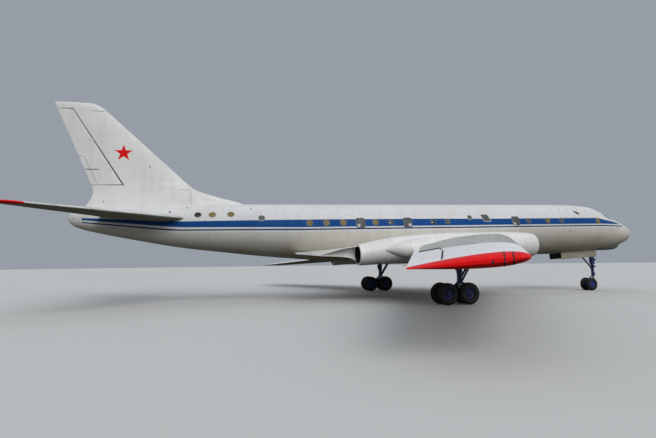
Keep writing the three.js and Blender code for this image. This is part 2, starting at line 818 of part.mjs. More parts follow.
const ELEVATOR = { inner: 1250, outer: 6500, share: 0.7, travel: 25 };
const tailStations = [tailAt(TAIL.start), tailAt(TAIL.tipJoint)];
const tailFull = loft(tailStations.map((station) => wingSection(station)));
const elevatorCut = trailingSurface(tailFull, tailAt, ELEVATOR);
const TAIL_TIP = { shoulder: 220, thinner: 0.35, lead: 200 };
const tailTipStations = [
  tailAt(TAIL.tipJoint + FIT_GAP),
  tailAt(TAIL.tip - TAIL_TIP.shoulder),
  tapered(tailAt(TAIL.tip), TAIL_TIP),
];
const tailPieces = {
  tailplane: { solid: largestPart(cut(elevatorCut.wing, fuselageClear)), color: WHITE },
  elevator: { solid: elevatorCut.surface, color: WHITE },
  tailplane_tip: { solid: loft(tailTipStations.map((station) => wingSection(station))), color: RED },
};
for (const { tag, sign } of SIDES) {
  for (const [name, { solid, color }] of Object.entries(tailPieces)) {
    piece(airframe, `${name}_${tag}`, sign < 0 ? mirrored(solid) : solid, color);
  }
}

// Fuselage pieces, the rear one carrying the rear door
const rearBody = joined(
  cut(fuselageLoft(REAR_SECTIONS), doorRecess(rearDoor, REAR_SECTIONS)),
  cut(doorHinges(rearDoor, false), fuselageLoft(REAR_SECTIONS, -DOOR_HINGE.sunk)),
);
piece(airframe, 'fuselage_nose', noseBody, WHITE);
piece(airframe, 'fuselage_centre', centreBody, WHITE);
piece(airframe, 'fuselage_rear', rearBody, WHITE);
piece(airframe, 'cockpit_glazing', glazing, GLASS, 0.1);
piece(airframe, 'door_front', doorSolid(frontDoor, NOSE_SECTIONS), WHITE);
piece(airframe, 'door_rear', doorSolid(rearDoor, REAR_SECTIONS), WHITE);

// Chin fairing under the nose. Columns: x, bottom, half width
const CHIN_SECTIONS = [
  [17900, -1320, 260],
  [17780, -1460, 400],
  [17450, -1570, 500],
  [16900, -1605, 560],
  [16250, -1590, 540],
  [16000, -1560, 500],
];

const CHIN = { top: -1000, side: 160, round: 40, flat: 0.72 };

function chinRing([x, bottom, half]) {
  const side = bottom + CHIN.side;
  const round = bottom + CHIN.round;
  return [
    [half, CHIN.top], [half, side], [half * CHIN.flat, round], [0, bottom],
    [-half * CHIN.flat, round], [-half, side], [-half, CHIN.top],
  ].map(([y, z]) => new THREE.Vector3(x, y, z));
}

const chin = largestPart(cut(loft(CHIN_SECTIONS.map(chinRing)), fuselageClear));
piece(airframe, 'chin_fairing', chin, GREY);

// Nose wheel bay doors
function bayDoor(sign) {
  const barrel = [];
  const radius = BAY_DOOR.knuckle - BAY_DOOR.slack;
  const gaps = BAY_LUG_STARTS.flatMap((x) => [x - RUNNING_GAP, x + BAY_LUG.length + RUNNING_GAP]);
  const ends = [BAY_DOOR.rear, ...gaps, BAY_DOOR.front];
  for (let i = 0; i < ends.length; i += 2) {
    const start = bayHingePoint(ends[i], sign * BAY_DOOR.y);
    const end = bayHingePoint(ends[i + 1], sign * BAY_DOOR.y);
    barrel.push(bar(start, end, radius, radius, PIN_SIDES));
  }
  const [x0, z0] = [BAY_DOOR.rear, BAY_DOOR.topRear];
  const [x1, z1] = [BAY_DOOR.front, BAY_DOOR.topFront];
  const middle = sign * BAY_DOOR.y;
  const slab = sideBlock(
    [[x0, z0], [x1, z1], [x1, z1 - BAY_DOOR.depth], [x0, z0 - BAY_DOOR.depth]],
    middle - BAY_DOOR.thick / 2,
    middle + BAY_DOOR.thick / 2,
  );
  const notches = BAY_LUG_STARTS.map((x) => box(
    [x - BAY_NOTCH.along, middle - BAY_NOTCH.across, BAY_NOTCH.low],
    [x + BAY_LUG.length + BAY_NOTCH.along, middle + BAY_NOTCH.across, BAY_NOTCH.high],
  ));
  return joined(cut(slab, ...notches), ...barrel);
}

for (const { tag, sign } of SIDES) {
  piece(airframe, `nose_bay_door_${tag}`, bayDoor(sign), WHITE);
}

// Wheels: a tyre is a closed ring, and an axle with its hubs is turned from one profile.
const MAIN_WHEEL = { radius: 550, width: 320, rim: 280, axle: 60, offset: 345 };
const NOSE_WHEEL = { radius: 450, width: 260, rim: 215, axle: 45, offset: 235 };
const WHEEL_SIDES = 20;

// A turned shape about Y. Its flats lie at the profile's radius, and one of them faces the ground.
function lathe(profile) {
  const halfStep = Math.PI / WHEEL_SIDES;
  const reach = 1 / Math.cos(halfStep);
  const points = profile.map(([radius, along]) => new THREE.Vector2(radius * reach, along));
  return solidFrom(new THREE.LatheGeometry(points, WHEEL_SIDES, halfStep));
}

const BORE_HALF_LENGTH = 400;

function axleBore({ axle, radius }, x) {
  const bore = lathe([
    [0, -BORE_HALF_LENGTH], [axle + BORE_GAP, -BORE_HALF_LENGTH],
    [axle + BORE_GAP, BORE_HALF_LENGTH], [0, BORE_HALF_LENGTH],
  ]);
  return moved(bore, new THREE.Matrix4().makeTranslation(x, 0, radius));
}

// A tyre's section as shares of its wall and of its half width, from the rim to the middle of the tread
const BEAD_SHARE = 0.72;
const TYRE_PROFILE = [[0, BEAD_SHARE], [0.45, 1], [0.76, 0.9], [1, 0.45]];

function tyre({ radius, width, rim }) {
  const half = width / 2;
  const near = TYRE_PROFILE.map(([out, across]) => [rim + out * (radius - rim), -across * half]);
  const far = near.map(([reach, along]) => [reach, -along]).reverse();
  return lathe([...near, ...far, near[0]]);
}

const HUB = { cap: 0.4, capRise: 12, dish: 0.55, dishDepth: 40, lip: 8, shoulder: 20 };

function axleWithHubs({ width, rim, axle, offset }) {
  const hub = rim - FIT_GAP;
  const inner = offset - width / 2 * BEAD_SHARE;
  const outer = offset + width / 2 * BEAD_SHARE;
  const far = [
    [axle, inner - HUB.shoulder], [hub, inner], [hub, outer - HUB.lip],
    [rim * HUB.dish, outer - HUB.dishDepth], [rim * HUB.cap, outer + HUB.capRise], [0, outer + HUB.capRise],
  ];
  const near = far.map(([reach, along]) => [reach, -along]).reverse();
  return lathe([...near, ...far]);
}

function wheelPair(names, wheel, x, y, z) {
  piece(aircraft, names.axle, axleWithHubs(wheel), LEG_BLUE, 0.5, 0.3).position.set(x, y, z);
  for (const [name, side] of names.tyres) {
    piece(aircraft, name, tyre(wheel), RUBBER, 0.9, 0).position.set(x, y + side * wheel.offset, z);
  }
}

// Main gear: a leg, a rocking beam and two axles a side
const halfBeam = BOGIE.spacing / 2 + BOGIE.overhang;
const beamBlock = box(
  [BOGIE.x - halfBeam, -BOGIE.half, MAIN_WHEEL.radius - BOGIE.rise],
  [BOGIE.x + halfBeam, BOGIE.half, MAIN_WHEEL.radius + BOGIE.rise],
);
const axleBores = [-1, 1].map((way) => axleBore(MAIN_WHEEL, BOGIE.x + way * BOGIE.spacing / 2));
const beam = cut(beamBlock, ...axleBores);
const legFoot = MAIN_WHEEL.radius + BOGIE.rise + FIT_GAP;
const mainLeg = joined(
  bar(
    [MAIN_LEG.x, 0, legFoot],
    [MAIN_LEG.x, 0, MAIN_LEG.socketTop - FIT_GAP],
    MAIN_LEG.radius,
    MAIN_LEG.radius,
    LEG_SIDES,
  ),
  mainStay(0),
);

for (const { tag, sign } of SIDES) {
  const y = sign * GEAR_TRACK / 2;
  piece(aircraft, `main_leg_${tag}`, mainLeg, LEG_BLUE).position.y = y;
  piece(aircraft, `bogie_beam_${tag}`, beam, LEG_BLUE).position.y = y;
  for (const [place, way] of [['front', 1], ['rear', -1]]) {
    wheelPair(
      {
        axle: `main_axle_${place}_${tag}`,
        tyres: [[`main_tyre_${place}_${tag}_1`, -1], [`main_tyre_${place}_${tag}_2`, 1]],
      },
      MAIN_WHEEL,
      BOGIE.x + way * BOGIE.spacing / 2,
      y,
      MAIN_WHEEL.radius,
    );
  }
}

// Nose gear: a fixed leg with its stay, a steered fork and a pair of wheels on one axle
const noseAxleX = groundX(STANCE.noseX, -STANCE.noseDrop);
const NOSE_LEG = { x: noseAxleX + 440, radius: 85, bottom: 1080, top: 3900 };
const NOSE_STAY = { low: 1520, high: 3600, reach: -2020, radius: 58 };
const TOW_LUG = { reach: 160, half: 60, low: 1140, high: 1260 };
const FORK = { collar: 120, collarLow: 60, stem: 70, stemBottom: 620, half: 70, front: 75, sunk: 30 };
// The leg and its stay end below the bay's roof.
const ROOF_CUTTER = { margin: 300, top: 1500 };
const bayRoof = moved(
  box(
    [BAY.rear - ROOF_CUTTER.margin, -BAY.half, BAY.roof - FIT_GAP],
    [BAY.front + ROOF_CUTTER.margin, BAY.half, ROOF_CUTTER.top],
  ),
  toGround,
);
const noseLeg = cut(
  joined(
    bar(
      [NOSE_LEG.x, 0, NOSE_LEG.bottom],
      [NOSE_LEG.x, 0, NOSE_LEG.top],
      NOSE_LEG.radius,
      NOSE_LEG.radius,
      LEG_SIDES,
    ),
    bar(
      [NOSE_LEG.x, 0, NOSE_STAY.low],
      [NOSE_LEG.x + NOSE_STAY.reach, 0, NOSE_STAY.high],
      NOSE_STAY.radius,
      NOSE_STAY.radius,
      PIN_SIDES,
    ),
    box(
      [NOSE_LEG.x, -TOW_LUG.half, TOW_LUG.low],
      [NOSE_LEG.x + TOW_LUG.reach, TOW_LUG.half, TOW_LUG.high],
    ),
  ),
  bayRoof,
);

// The fork's arm, from the side: it trails back from the stem to the axle
const forkTop = NOSE_LEG.bottom - RUNNING_GAP;
const forkFront = NOSE_LEG.x + FORK.front;
const forkArm = [
  [forkFront, 560], [forkFront, 720], [noseAxleX - 40, 560], [noseAxleX - 110, 450], [noseAxleX, 350],
];

function forkPost(low, high, radius) {
  return bar([NOSE_LEG.x, 0, low], [NOSE_LEG.x, 0, high], radius, radius, LEG_SIDES);
}

const fork = cut(
  joined(
    forkPost(forkTop - FORK.collarLow, forkTop, FORK.collar),
    forkPost(FORK.stemBottom, forkTop - FORK.sunk, FORK.stem),
    sideBlock(forkArm, -FORK.half, FORK.half),
  ),
  axleBore(NOSE_WHEEL, noseAxleX),
);
piece(aircraft, 'nose_leg', noseLeg, LEG_BLUE);
piece(aircraft, 'nose_fork', fork, LEG_BLUE);
wheelPair(
  { axle: 'nose_axle', tyres: [['nose_tyre_right', -1], ['nose_tyre_left', 1]] },
  NOSE_WHEEL,
  noseAxleX,
  0,
  NOSE_WHEEL.radius,
);

export default aircraft;
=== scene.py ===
"""A narrow body airliner on its wheels: skins, livery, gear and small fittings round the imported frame."""

import logging
import math
from dataclasses import dataclass, replace
from enum import Enum
from typing import Callable, Sequence

import bmesh
import bpy
from mathutils import Matrix, Vector


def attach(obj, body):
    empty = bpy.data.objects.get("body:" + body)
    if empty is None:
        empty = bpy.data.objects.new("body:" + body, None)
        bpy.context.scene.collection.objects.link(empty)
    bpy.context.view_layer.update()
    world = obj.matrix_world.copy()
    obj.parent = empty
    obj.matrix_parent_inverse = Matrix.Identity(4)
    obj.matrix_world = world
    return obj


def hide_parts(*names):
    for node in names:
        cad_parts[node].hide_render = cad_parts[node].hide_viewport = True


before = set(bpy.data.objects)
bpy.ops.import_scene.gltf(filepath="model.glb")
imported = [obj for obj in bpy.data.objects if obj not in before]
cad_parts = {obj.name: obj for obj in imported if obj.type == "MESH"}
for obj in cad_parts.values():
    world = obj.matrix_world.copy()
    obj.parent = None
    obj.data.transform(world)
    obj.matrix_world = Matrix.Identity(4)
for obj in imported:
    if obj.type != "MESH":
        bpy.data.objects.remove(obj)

LOG = logging.getLogger("airliner")

Row = Sequence[float]
Ring = list[Vector]
Colour = tuple[float, float, float, float]

# The airframe's own frame has the barrel's axis along X at Z = 0, and stands a little nose-up.
PARKED_PITCH = math.atan2(0.314, 14.184)
AIRFRAME = Matrix.Translation((0.1595, 0.0, 4.1204)) @ Matrix.Rotation(-PARKED_PITCH, 4, "Y")
GROUND = Matrix.Identity(4)
UP = (0, 0, 1)
DOWN = (0, 0, -1)
PORT = (0, 1, 0)
FULL_TURN = 2 * math.pi
MERGE_DISTANCE = 1e-5
QUAD = 4
# A flat face with many corners keeps its border sharp past this angle, so that its shading stays flat.
PLATE_LIMIT = math.radians(4)


class Side(Enum):
    """The two sides of the aircraft, with the sign of Y on each."""

    RIGHT = -1
    LEFT = 1

    @property
    def tag(self) -> str:
        """The side's name in piece and body names."""
        return self.name.lower()


def srgb(red: int, green: int, blue: int) -> Colour:
    """Turns a screen colour into the linear one that shaders take.

    Args:
        red: Red, 0 to 255.
        green: Green, 0 to 255.
        blue: Blue, 0 to 255.

    Returns:
        The linear colour with full alpha.
    """
    parts = [channel / 255 for channel in (red, green, blue)]
    linear = [part / 12.92 if part <= 0.04045 else ((part + 0.055) / 1.055) ** 2.4 for part in parts]
    return (linear[0], linear[1], linear[2], 1.0)


def between(start: float, end: float, share: float) -> float:
    """The value at a share of the way from start to end."""
    return start + (end - start) * share


class SmoothRow:
    """Values that pass smoothly through given places, without overshoot."""

    def __init__(self, places: Row, values: Row) -> None:
        """Keeps the places in rising order and finds a slope at each.

        Args:
            places: Where each value stands, rising or falling.
            values: The value at each place.
        """
        pairs = sorted(zip(places, values))
        self.places = [place for place, _ in pairs]
        self.values = [value for _, value in pairs]
        steps = [b - a for a, b in zip(self.places, self.places[1:])]
        falls = [(b - a) / step for a, b, step in zip(self.values, self.values[1:], steps)]
        self.slopes = [falls[0]]
        for before, after, first, second in zip(falls, falls[1:], steps, steps[1:]):
            if before * after <= 0:
                self.slopes.append(0.0)
            else:
                near = 2 * second + first
                far = second + 2 * first
                self.slopes.append((near + far) / (near / before + far / after))
        self.slopes.append(falls[-1])

    def at(self, place: float) -> float:
        """The value at a place, held level past either end.

        Args:
            place: Where to read it.

        Returns:
            The value there.
        """
        if place <= self.places[0]:
            return self.values[0]
        if place >= self.places[-1]:
            return self.values[-1]
        number = max(i for i, known in enumerate(self.places) if known <= place)
        step = self.places[number + 1] - self.places[number]
        t = (place - self.places[number]) / step
        first, second = self.values[number], self.values[number + 1]
        start, end = self.slopes[number] * step, self.slopes[number + 1] * step
        return (
            first * (2 * t**3 - 3 * t**2 + 1)
            + start * (t**3 - 2 * t**2 + t)
            + second * (3 * t**2 - 2 * t**3)
            + end * (t**3 - t**2)
        )


def rows_of(table: Sequence[Row]) -> list[SmoothRow]:
    """Makes a smooth row of each column of a table, over its first column."""
    columns = list(zip(*table))
    return [SmoothRow(columns[0], column) for column in columns[1:]]


class Form:
    """A mesh in the making, with the operators that shape it."""

    def __init__(self) -> None:
        """Starts with an empty mesh."""
        self.bm = bmesh.new()
        self.place = self.bm.verts.layers.int.new("place")

    def loft(self, rings: Sequence[Ring], first_closed: bool = True, last_closed: bool = True) -> "Form":
        """Joins closed rings of one point count, each to the next.

        Args:
            rings: The rings in order.
            first_closed: Whether the first ring gets a face over it.
            last_closed: Whether the last ring gets a face over it.

        Returns:
            This form.
        """
        start = len(self.bm.edges)
        circle = bmesh.ops.create_circle(self.bm, segments=len(rings[0]), radius=1.0)["verts"]
        for number, vert in enumerate(circle):
            vert[self.place] = number
            vert.co = rings[0][number]
        self.bm.edges.ensure_lookup_table()
        first = self.bm.edges[start:]
        edges = first
        for ring in rings[1:]:
            made = bmesh.ops.extrude_edge_only(self.bm, edges=edges)["geom"]
            for item in made:
                if isinstance(item, bmesh.types.BMVert):
                    item.co = ring[item[self.place]]
            edges = [item for item in made if isinstance(item, bmesh.types.BMEdge) and item.is_boundary]
        ends = (first if first_closed else []) + (edges if last_closed else [])
        if ends:
            bmesh.ops.holes_fill(self.bm, edges=ends, sides=0)
        return self

    def turned(
        self, profile: Sequence[Row], centre: Row, axis: Row, steps: int = 32, ring: bool = False
    ) -> "Form":
        """Turns a profile all the way round an axis.

        Args:
            profile: Points as (along the axis, away from it).
            centre: Where the axis starts.
            axis: The axis direction.
            steps: How many flats go round.
            ring: Whether the profile closes on itself, as a tyre's does.

        Returns:
            This form.
        """
        line = Vector(axis).normalized()
        out = line.orthogonal().normalized()
        start = Vector(centre)
        verts = [self.bm.verts.new(start + line * along + out * reach) for along, reach in profile]
        pairs = list(zip(verts, verts[1:]))
        if ring:
            pairs.append((verts[-1], verts[0]))
        edges = [self.bm.edges.new(pair) for pair in pairs]
        bmesh.ops.spin(
            self.bm, geom=verts + edges, cent=start, axis=line, angle=FULL_TURN, steps=steps, use_merge=True
        )
        return self

    def rod(self, start: Row, end: Row, radius: float, end_radius: float = 0.0, steps: int = 24) -> "Form":
        """A round bar with its end edges eased.

        Args:
            start: Middle of one end.
            end: Middle of the other.
            radius: Radius at the start.
            end_radius: Radius at the end, or 0 for the same.
            steps: How many flats go round.

        Returns:
            This form.
        """
        far = end_radius or radius
        length = (Vector(end) - Vector(start)).length
        ease = min(radius, far, length) * 0.12
        profile = [
            (0, 0), (0, radius - ease), (ease, radius), (length - ease, far), (length, far - ease),
            (length, 0),
        ]
        return self.turned(profile, start, Vector(end) - Vector(start), steps)

    def collar(
        self, centre: Row, axis: Row, bore: float, reach: float, length: float, ease: Row = (0.006, 0.006),
        steps: int = 36,
    ) -> "Form":
        """A thick ring with its rims eased.

        Args:
            centre: The middle of its first face.
            axis: Its axis.
            bore: Radius of the hole.
            reach: Outer radius.
            length: How long it is.
            ease: How much each rim gives way along the axis and towards it.
            steps: How many flats go round.

        Returns:
            This form.
        """
        along, drop = ease
        profile = [
            (0, bore), (0, reach - drop), (along, reach), (length - along, reach), (length, reach - drop),
            (length, bore),
        ]
        return self.turned(profile, centre, axis, steps, ring=True)

    def tube(self, path: Sequence[Row], radius: float, sides: int = 10) -> "Form":
        """A round tube along a path.

        Args:
            path: Points along its middle.
            radius: The tube's radius.
            sides: How many flats go round.

        Returns:
            This form.
        """
        points = [Vector(point) for point in path]
        across = (points[1] - points[0]).orthogonal().normalized()
        rings = []
        for number, point in enumerate(points):
            before = points[max(number - 1, 0)]
            after = points[min(number + 1, len(points) - 1)]
            along = (after - before).normalized()
            across = (across - along * across.dot(along)).normalized()
            other = along.cross(across)
            angles = [FULL_TURN * i / sides for i in range(sides)]
            rings.append([point + (across * math.cos(a) + other * math.sin(a)) * radius for a in angles])
        return self.loft(rings)

    def slab(self, outline: Sequence[Row], depth: Row, ease: float = 0.0) -> "Form":
        """A plate of any flat outline.

        Args:
            outline: The corners of one face, in order.
            depth: The way to the other face.
            ease: How much its edges are rounded.

        Returns:
            This form.
        """
        verts = [self.bm.verts.new(corner) for corner in outline]
        face = self.bm.faces.new(verts)
        made = bmesh.ops.extrude_face_region(self.bm, geom=[face], use_keep_orig=True)["geom"]
        moved = [item for item in made if isinstance(item, bmesh.types.BMVert)]
        bmesh.ops.translate(self.bm, verts=moved, vec=Vector(depth))
        if ease:
            self.round_edges(verts + moved, ease)
        return self

    def block(self, low: Row, high: Row, ease: float = 0.0) -> "Form":
        """A block between two corners, with its edges rounded by ease.

        Args:
            low: Its lowest corner.
            high: Its highest corner.
            ease: How much its edges are rounded.

        Returns:
            This form.
        """
        size = Vector(high) - Vector(low)
        middle = (Vector(high) + Vector(low)) / 2
        matrix = Matrix.Translation(middle) @ Matrix.Diagonal((*size, 1.0))
        verts = bmesh.ops.create_cube(self.bm, size=1.0, matrix=matrix)["verts"]
        if ease:
            self.round_edges(verts, ease)
        return self

    def round_edges(self, verts: Sequence[bmesh.types.BMVert], ease: float, segments: int = 2) -> None:
        """Rounds every edge between the given corners.

        Args:
            verts: The corners.
            ease: How far back each edge is cut.
            segments: How many flats make the round.
        """
        corners = set(verts)
        edges = [edge for edge in self.bm.edges if edge.verts[0] in corners and edge.verts[1] in corners]
        bmesh.ops.bevel(
            self.bm,
            geom=edges,
            offset=ease,
            offset_type="OFFSET",
            affect="EDGES",
            segments=segments,
            profile=0.5,
            material=-1,
            clamp_overlap=True,
        )

    def moved(self, matrix: Matrix) -> "Form":
        """Moves everything made so far."""
        bmesh.ops.transform(self.bm, matrix=matrix, verts=self.bm.verts)
        return self

    def painted(self, index: int, chosen: Callable[[Vector], bool]) -> "Form":
        """Gives the faces whose middles are chosen another of the piece's finishes.

        Args:
            index: The finish's number.
            chosen: Tells whether a face is chosen, by its middle.

        Returns:
            This form.
        """
        for face in self.bm.faces:
            if chosen(face.calc_center_median()):
                face.material_index = index
        return self

    def closed(self) -> "Form":
        """Merges shared corners and turns every face outwards.

        Returns:
            This form.
        """
        bmesh.ops.remove_doubles(self.bm, verts=self.bm.verts, dist=MERGE_DISTANCE)
        bmesh.ops.dissolve_degenerate(self.bm, edges=self.bm.edges, dist=MERGE_DISTANCE)
        bmesh.ops.recalc_face_normals(self.bm, faces=self.bm.faces)
        return self

    def mesh(self, name: str, crease: float = 32.0) -> bpy.types.Mesh:
        """Finishes the mesh with smooth faces and sharp creases.

        Args:
            name: The mesh's name.
            crease: Edges that turn by more degrees than this stay sharp.

        Returns:
            The finished mesh.
        """
        limit = math.radians(crease)
        for face in self.bm.faces:
            face.smooth = True
        for edge in self.bm.edges:
            plate = any(len(face.verts) > QUAD for face in edge.link_faces)
            edge.smooth = edge.calc_face_angle(0.0) < (PLATE_LIMIT if plate else limit)
        mesh = bpy.data.meshes.new(name)
        self.bm.to_mesh(mesh)
        self.bm.free()
        return mesh

    def carved(self, cutters: Sequence["Form"]) -> "Form":
        """Cuts closed forms out of this one.

        Args:
            cutters: The forms to take away.

        Returns:
            A new form with what is left.
        """
        body = bpy.data.objects.new("carved", self.closed().mesh("carved"))
        bpy.context.scene.collection.objects.link(body)
        tools = []
        for cutter in cutters:
            tool = bpy.data.objects.new("cutter", cutter.closed().mesh("cutter"))
            bpy.context.scene.collection.objects.link(tool)
            change = body.modifiers.new("cut", "BOOLEAN")
            change.operation = "DIFFERENCE"
            change.solver = "EXACT"
            change.object = tool
            tools.append(tool)
        rest = Form()
        shown = body.evaluated_get(bpy.context.evaluated_depsgraph_get())
        mesh = bpy.data.meshes.new_from_object(shown)
        rest.bm.from_mesh(mesh)
        for item in [body, *tools]:
            bpy.data.objects.remove(item)
        bpy.data.meshes.remove(mesh)
        return rest


class Bench:
    """A node tree in the making. Each method adds a node and gives its output socket."""

    def __init__(self, tree: bpy.types.NodeTree) -> None:
        """Keeps the tree to work on."""
        self.tree = tree

    def add(self, kind: str, feeds: dict | None = None, **settings: object) -> bpy.types.Node:
        """Adds a node.

        Args:
            kind: Blender's name for the node.
            feeds: Input names with their values or the sockets that feed them.
            **settings: The node's own settings.

        Returns:
            The node.
        """
        node = self.tree.nodes.new(kind)
        for key, value in settings.items():
            setattr(node, key, value)
        for key, value in (feeds or {}).items():
            self.feed(node.inputs[key], value)
        return node

    def tinted(self, colour: object, tint: Colour) -> bpy.types.NodeSocket:
        """A colour multiplied by a tint.

        Args:
            colour: The colour, or the socket that gives it.
            tint: What it is multiplied by.

        Returns:
            The tinted colour.
        """
        node = self.add("ShaderNodeMix", data_type="RGBA", blend_type="MULTIPLY")
        for number, value in ((0, 1.0), (6, colour), (7, tint)):
            self.feed(node.inputs[number], value)
        return node.outputs[2]

    def feed(self, socket: bpy.types.NodeSocket, value: object) -> None:
        """Links a socket to an input, or sets the input's own value.

        Args:
            socket: The input.
            value: A socket or a plain value.
        """
        if isinstance(value, bpy.types.NodeSocket):
            self.tree.links.new(value, socket)
        else:
            socket.default_value = value

    def math(self, operation: str, *values: object, clamp: bool = False) -> bpy.types.NodeSocket:
        """Works out one sum of up to three values.

        Args:
            operation: Blender's name for the sum.
            *values: The values or sockets, in order.
            clamp: Whether the result is held between 0 and 1.

        Returns:
            The result.
        """
        node = self.add("ShaderNodeMath", operation=operation, use_clamp=clamp)
        for socket, value in zip(node.inputs, values):
            self.feed(socket, value)
        return node.outputs[0]

    def mix(self, share: object, first: object, second: object) -> bpy.types.NodeSocket:
        """Mixes two colours by a share.

        Args:
            share: How much of the second colour.
            first: The first colour.
            second: The second colour.

        Returns:
            The mixed colour.
        """
        node = self.add("ShaderNodeMix", data_type="RGBA")
        for number, value in ((0, share), (6, first), (7, second)):
            self.feed(node.inputs[number], value)
        return node.outputs[2]

    def spread(
        self, value: object, low: object, high: object, start: float = 0.0, end: float = 1.0
    ) -> bpy.types.NodeSocket:
        """Maps a value between low and high onto start to end, held at both.

        Args:
            value: The value to map.
            low: Where it starts.
            high: Where it ends.
            start: What low becomes.
            end: What high becomes.

        Returns:
            The mapped value.
        """
        feeds = {"Value": value, "From Min": low, "From Max": high, "To Min": start, "To Max": end}
        return self.add("ShaderNodeMapRange", feeds).outputs[0]

    def noise(self, vector: object, scale: object, detail: float = 3.0) -> bpy.types.NodeSocket:
        """Cloudy noise of a given fineness.

        Args:
            vector: Where to read it.
            scale: How fine it is.
            detail: How many finer layers it has.

        Returns:
            The noise, about 0 to 1.
        """
        feeds = {"Vector": vector, "Scale": scale, "Detail": detail}
        return self.add("ShaderNodeTexNoise", feeds).outputs[0]

    def stretched(self, vector: object, scale: Row) -> bpy.types.NodeSocket:
        """A vector with each axis scaled."""
        node = self.add("ShaderNodeVectorMath", {0: vector, 1: scale}, operation="MULTIPLY")
        return node.outputs[0]

    def parts(self, vector: object) -> list[bpy.types.NodeSocket]:
        """The X, Y and Z of a vector."""
        return list(self.add("ShaderNodeSeparateXYZ", {0: vector}).outputs)

    def broken_line(self, value: object, knots: Sequence[Row]) -> object:
        """A value that runs straight from knot to knot.

        Args:
            value: Where along the line.
            knots: (place, value) pairs with rising places.

        Returns:
            The line's value there.
        """
        total: object = knots[0][1]
        for (x0, y0), (x1, y1) in zip(knots, knots[1:]):
            total = self.math("ADD", total, self.spread(value, x0, x1, 0.0, y1 - y0))
        return total


Sockets = bpy.types.bpy_prop_collection
SOCKETS = {"value": "NodeSocketFloat", "colour": "NodeSocketColor", "vector": "NodeSocketVector"}


def shared_group(
    name: str, takes: dict[str, str], gives: dict[str, str]
) -> tuple[bpy.types.NodeTree, Bench, Sockets, bpy.types.Node]:
    """Starts a node group that several finishes use.

    Args:
        name: The group's name.
        takes: Input names with their kinds.
        gives: Output names with their kinds.

    Returns:
        The tree, its bench, its input sockets by name and its output node.
    """
    tree = bpy.data.node_groups.new(name, "ShaderNodeTree")
    for side, named in (("INPUT", takes), ("OUTPUT", gives)):
        for label, kind in named.items():
            tree.interface.new_socket(name=label, in_out=side, socket_type=SOCKETS[kind])
    bench = Bench(tree)
    return tree, bench, bench.add("NodeGroupInput").outputs, bench.add("NodeGroupOutput")


class SharedEffects:
    """The node groups that the finishes share: weathering, seams and rivets."""

    SEAM_SOFT = 1.6

    def __init__(self) -> None:
        """Builds each group once."""
        self.weathering = self._weathering()
        self.seam = self._seam()
        self.rivets = self._rivets()

    def _weathering(self) -> bpy.types.NodeTree:
        """Cloudy grime with streaks that run down, and the skin's slight unevenness.

        Returns:
            The node group.
        """
        tree, bench, given, out = shared_group(
            "weathering",
            {"Position": "vector", "Clean": "colour", "Grime": "colour", "Amount": "value", "Scale": "value"},
            {"Color": "colour", "Roughness": "value", "Height": "value"},
        )
        position = given["Position"]
        scale = given["Scale"]
        clouds = bench.noise(position, scale, 4.0)
        streaks = bench.noise(bench.stretched(position, (5.0, 5.0, 0.45)), scale, 3.0)
        specks = bench.noise(position, bench.math("MULTIPLY", scale, 22.0), 2.0)
        dirt = bench.math("ADD", bench.math("MULTIPLY", clouds, 0.55), bench.math("MULTIPLY", streaks, 0.45))
        patch = bench.spread(dirt, 0.42, 0.68)
        fine = bench.spread(specks, 0.6, 0.78, 0.0, 0.5)
        mask = bench.math("MULTIPLY", bench.math("ADD", patch, fine), given["Amount"], clamp=True)
        bench.feed(out.inputs["Color"], bench.mix(mask, given["Clean"], given["Grime"]))
        bench.feed(out.inputs["Roughness"], bench.spread(dirt, 0.3, 0.7, 0.0, 0.22))
        bench.feed(out.inputs["Height"], bench.math("MULTIPLY", bench.math("ADD", clouds, specks), 0.5))
        return tree

    def _seam(self) -> bpy.types.NodeTree:
        """A thin line each time a coordinate has run one pitch.

        Returns:
            The node group.
        """
        tree, bench, given, out = shared_group(
            "seam", {"Coordinate": "value", "Pitch": "value", "Width": "value"}, {"Mask": "value"}
        )
        turns = bench.math("DIVIDE", given["Coordinate"], given["Pitch"])
        off = bench.math("ABSOLUTE", bench.math("SUBTRACT", bench.math("FRACT", turns), 0.5))
        away = bench.math("MULTIPLY", bench.math("SUBTRACT", 0.5, off), given["Pitch"])
        edge = bench.math("MULTIPLY", given["Width"], self.SEAM_SOFT)
        bench.feed(out.inputs["Mask"], bench.spread(away, edge, bench.math("MULTIPLY", edge, 0.4)))
        return tree

    def _rivets(self) -> bpy.types.NodeTree:
        """Rows of small round heads where two coordinates each meet their pitch.

        Returns:
            The node group.
        """
        tree, bench, given, out = shared_group(
            "rivets",
            {"Along": "value", "Across": "value", "Step": "value", "Pitch": "value", "Radius": "value"},
            {"Mask": "value"},
        )
        away = []
        for coordinate, pitch in (("Along", "Step"), ("Across", "Pitch")):
            turns = bench.math("FRACT", bench.math("DIVIDE", given[coordinate], given[pitch]))
            centred = bench.math("SUBTRACT", turns, 0.5)
            away.append(bench.math("MULTIPLY", centred, given[pitch]))
        squares = [bench.math("MULTIPLY", offset, offset) for offset in away]
        distance = bench.math("SQRT", bench.math("ADD", *squares))
        inner = bench.math("MULTIPLY", given["Radius"], 0.6)
        bench.feed(out.inputs["Mask"], bench.spread(distance, given["Radius"], inner))
        return tree


EFFECTS = SharedEffects()


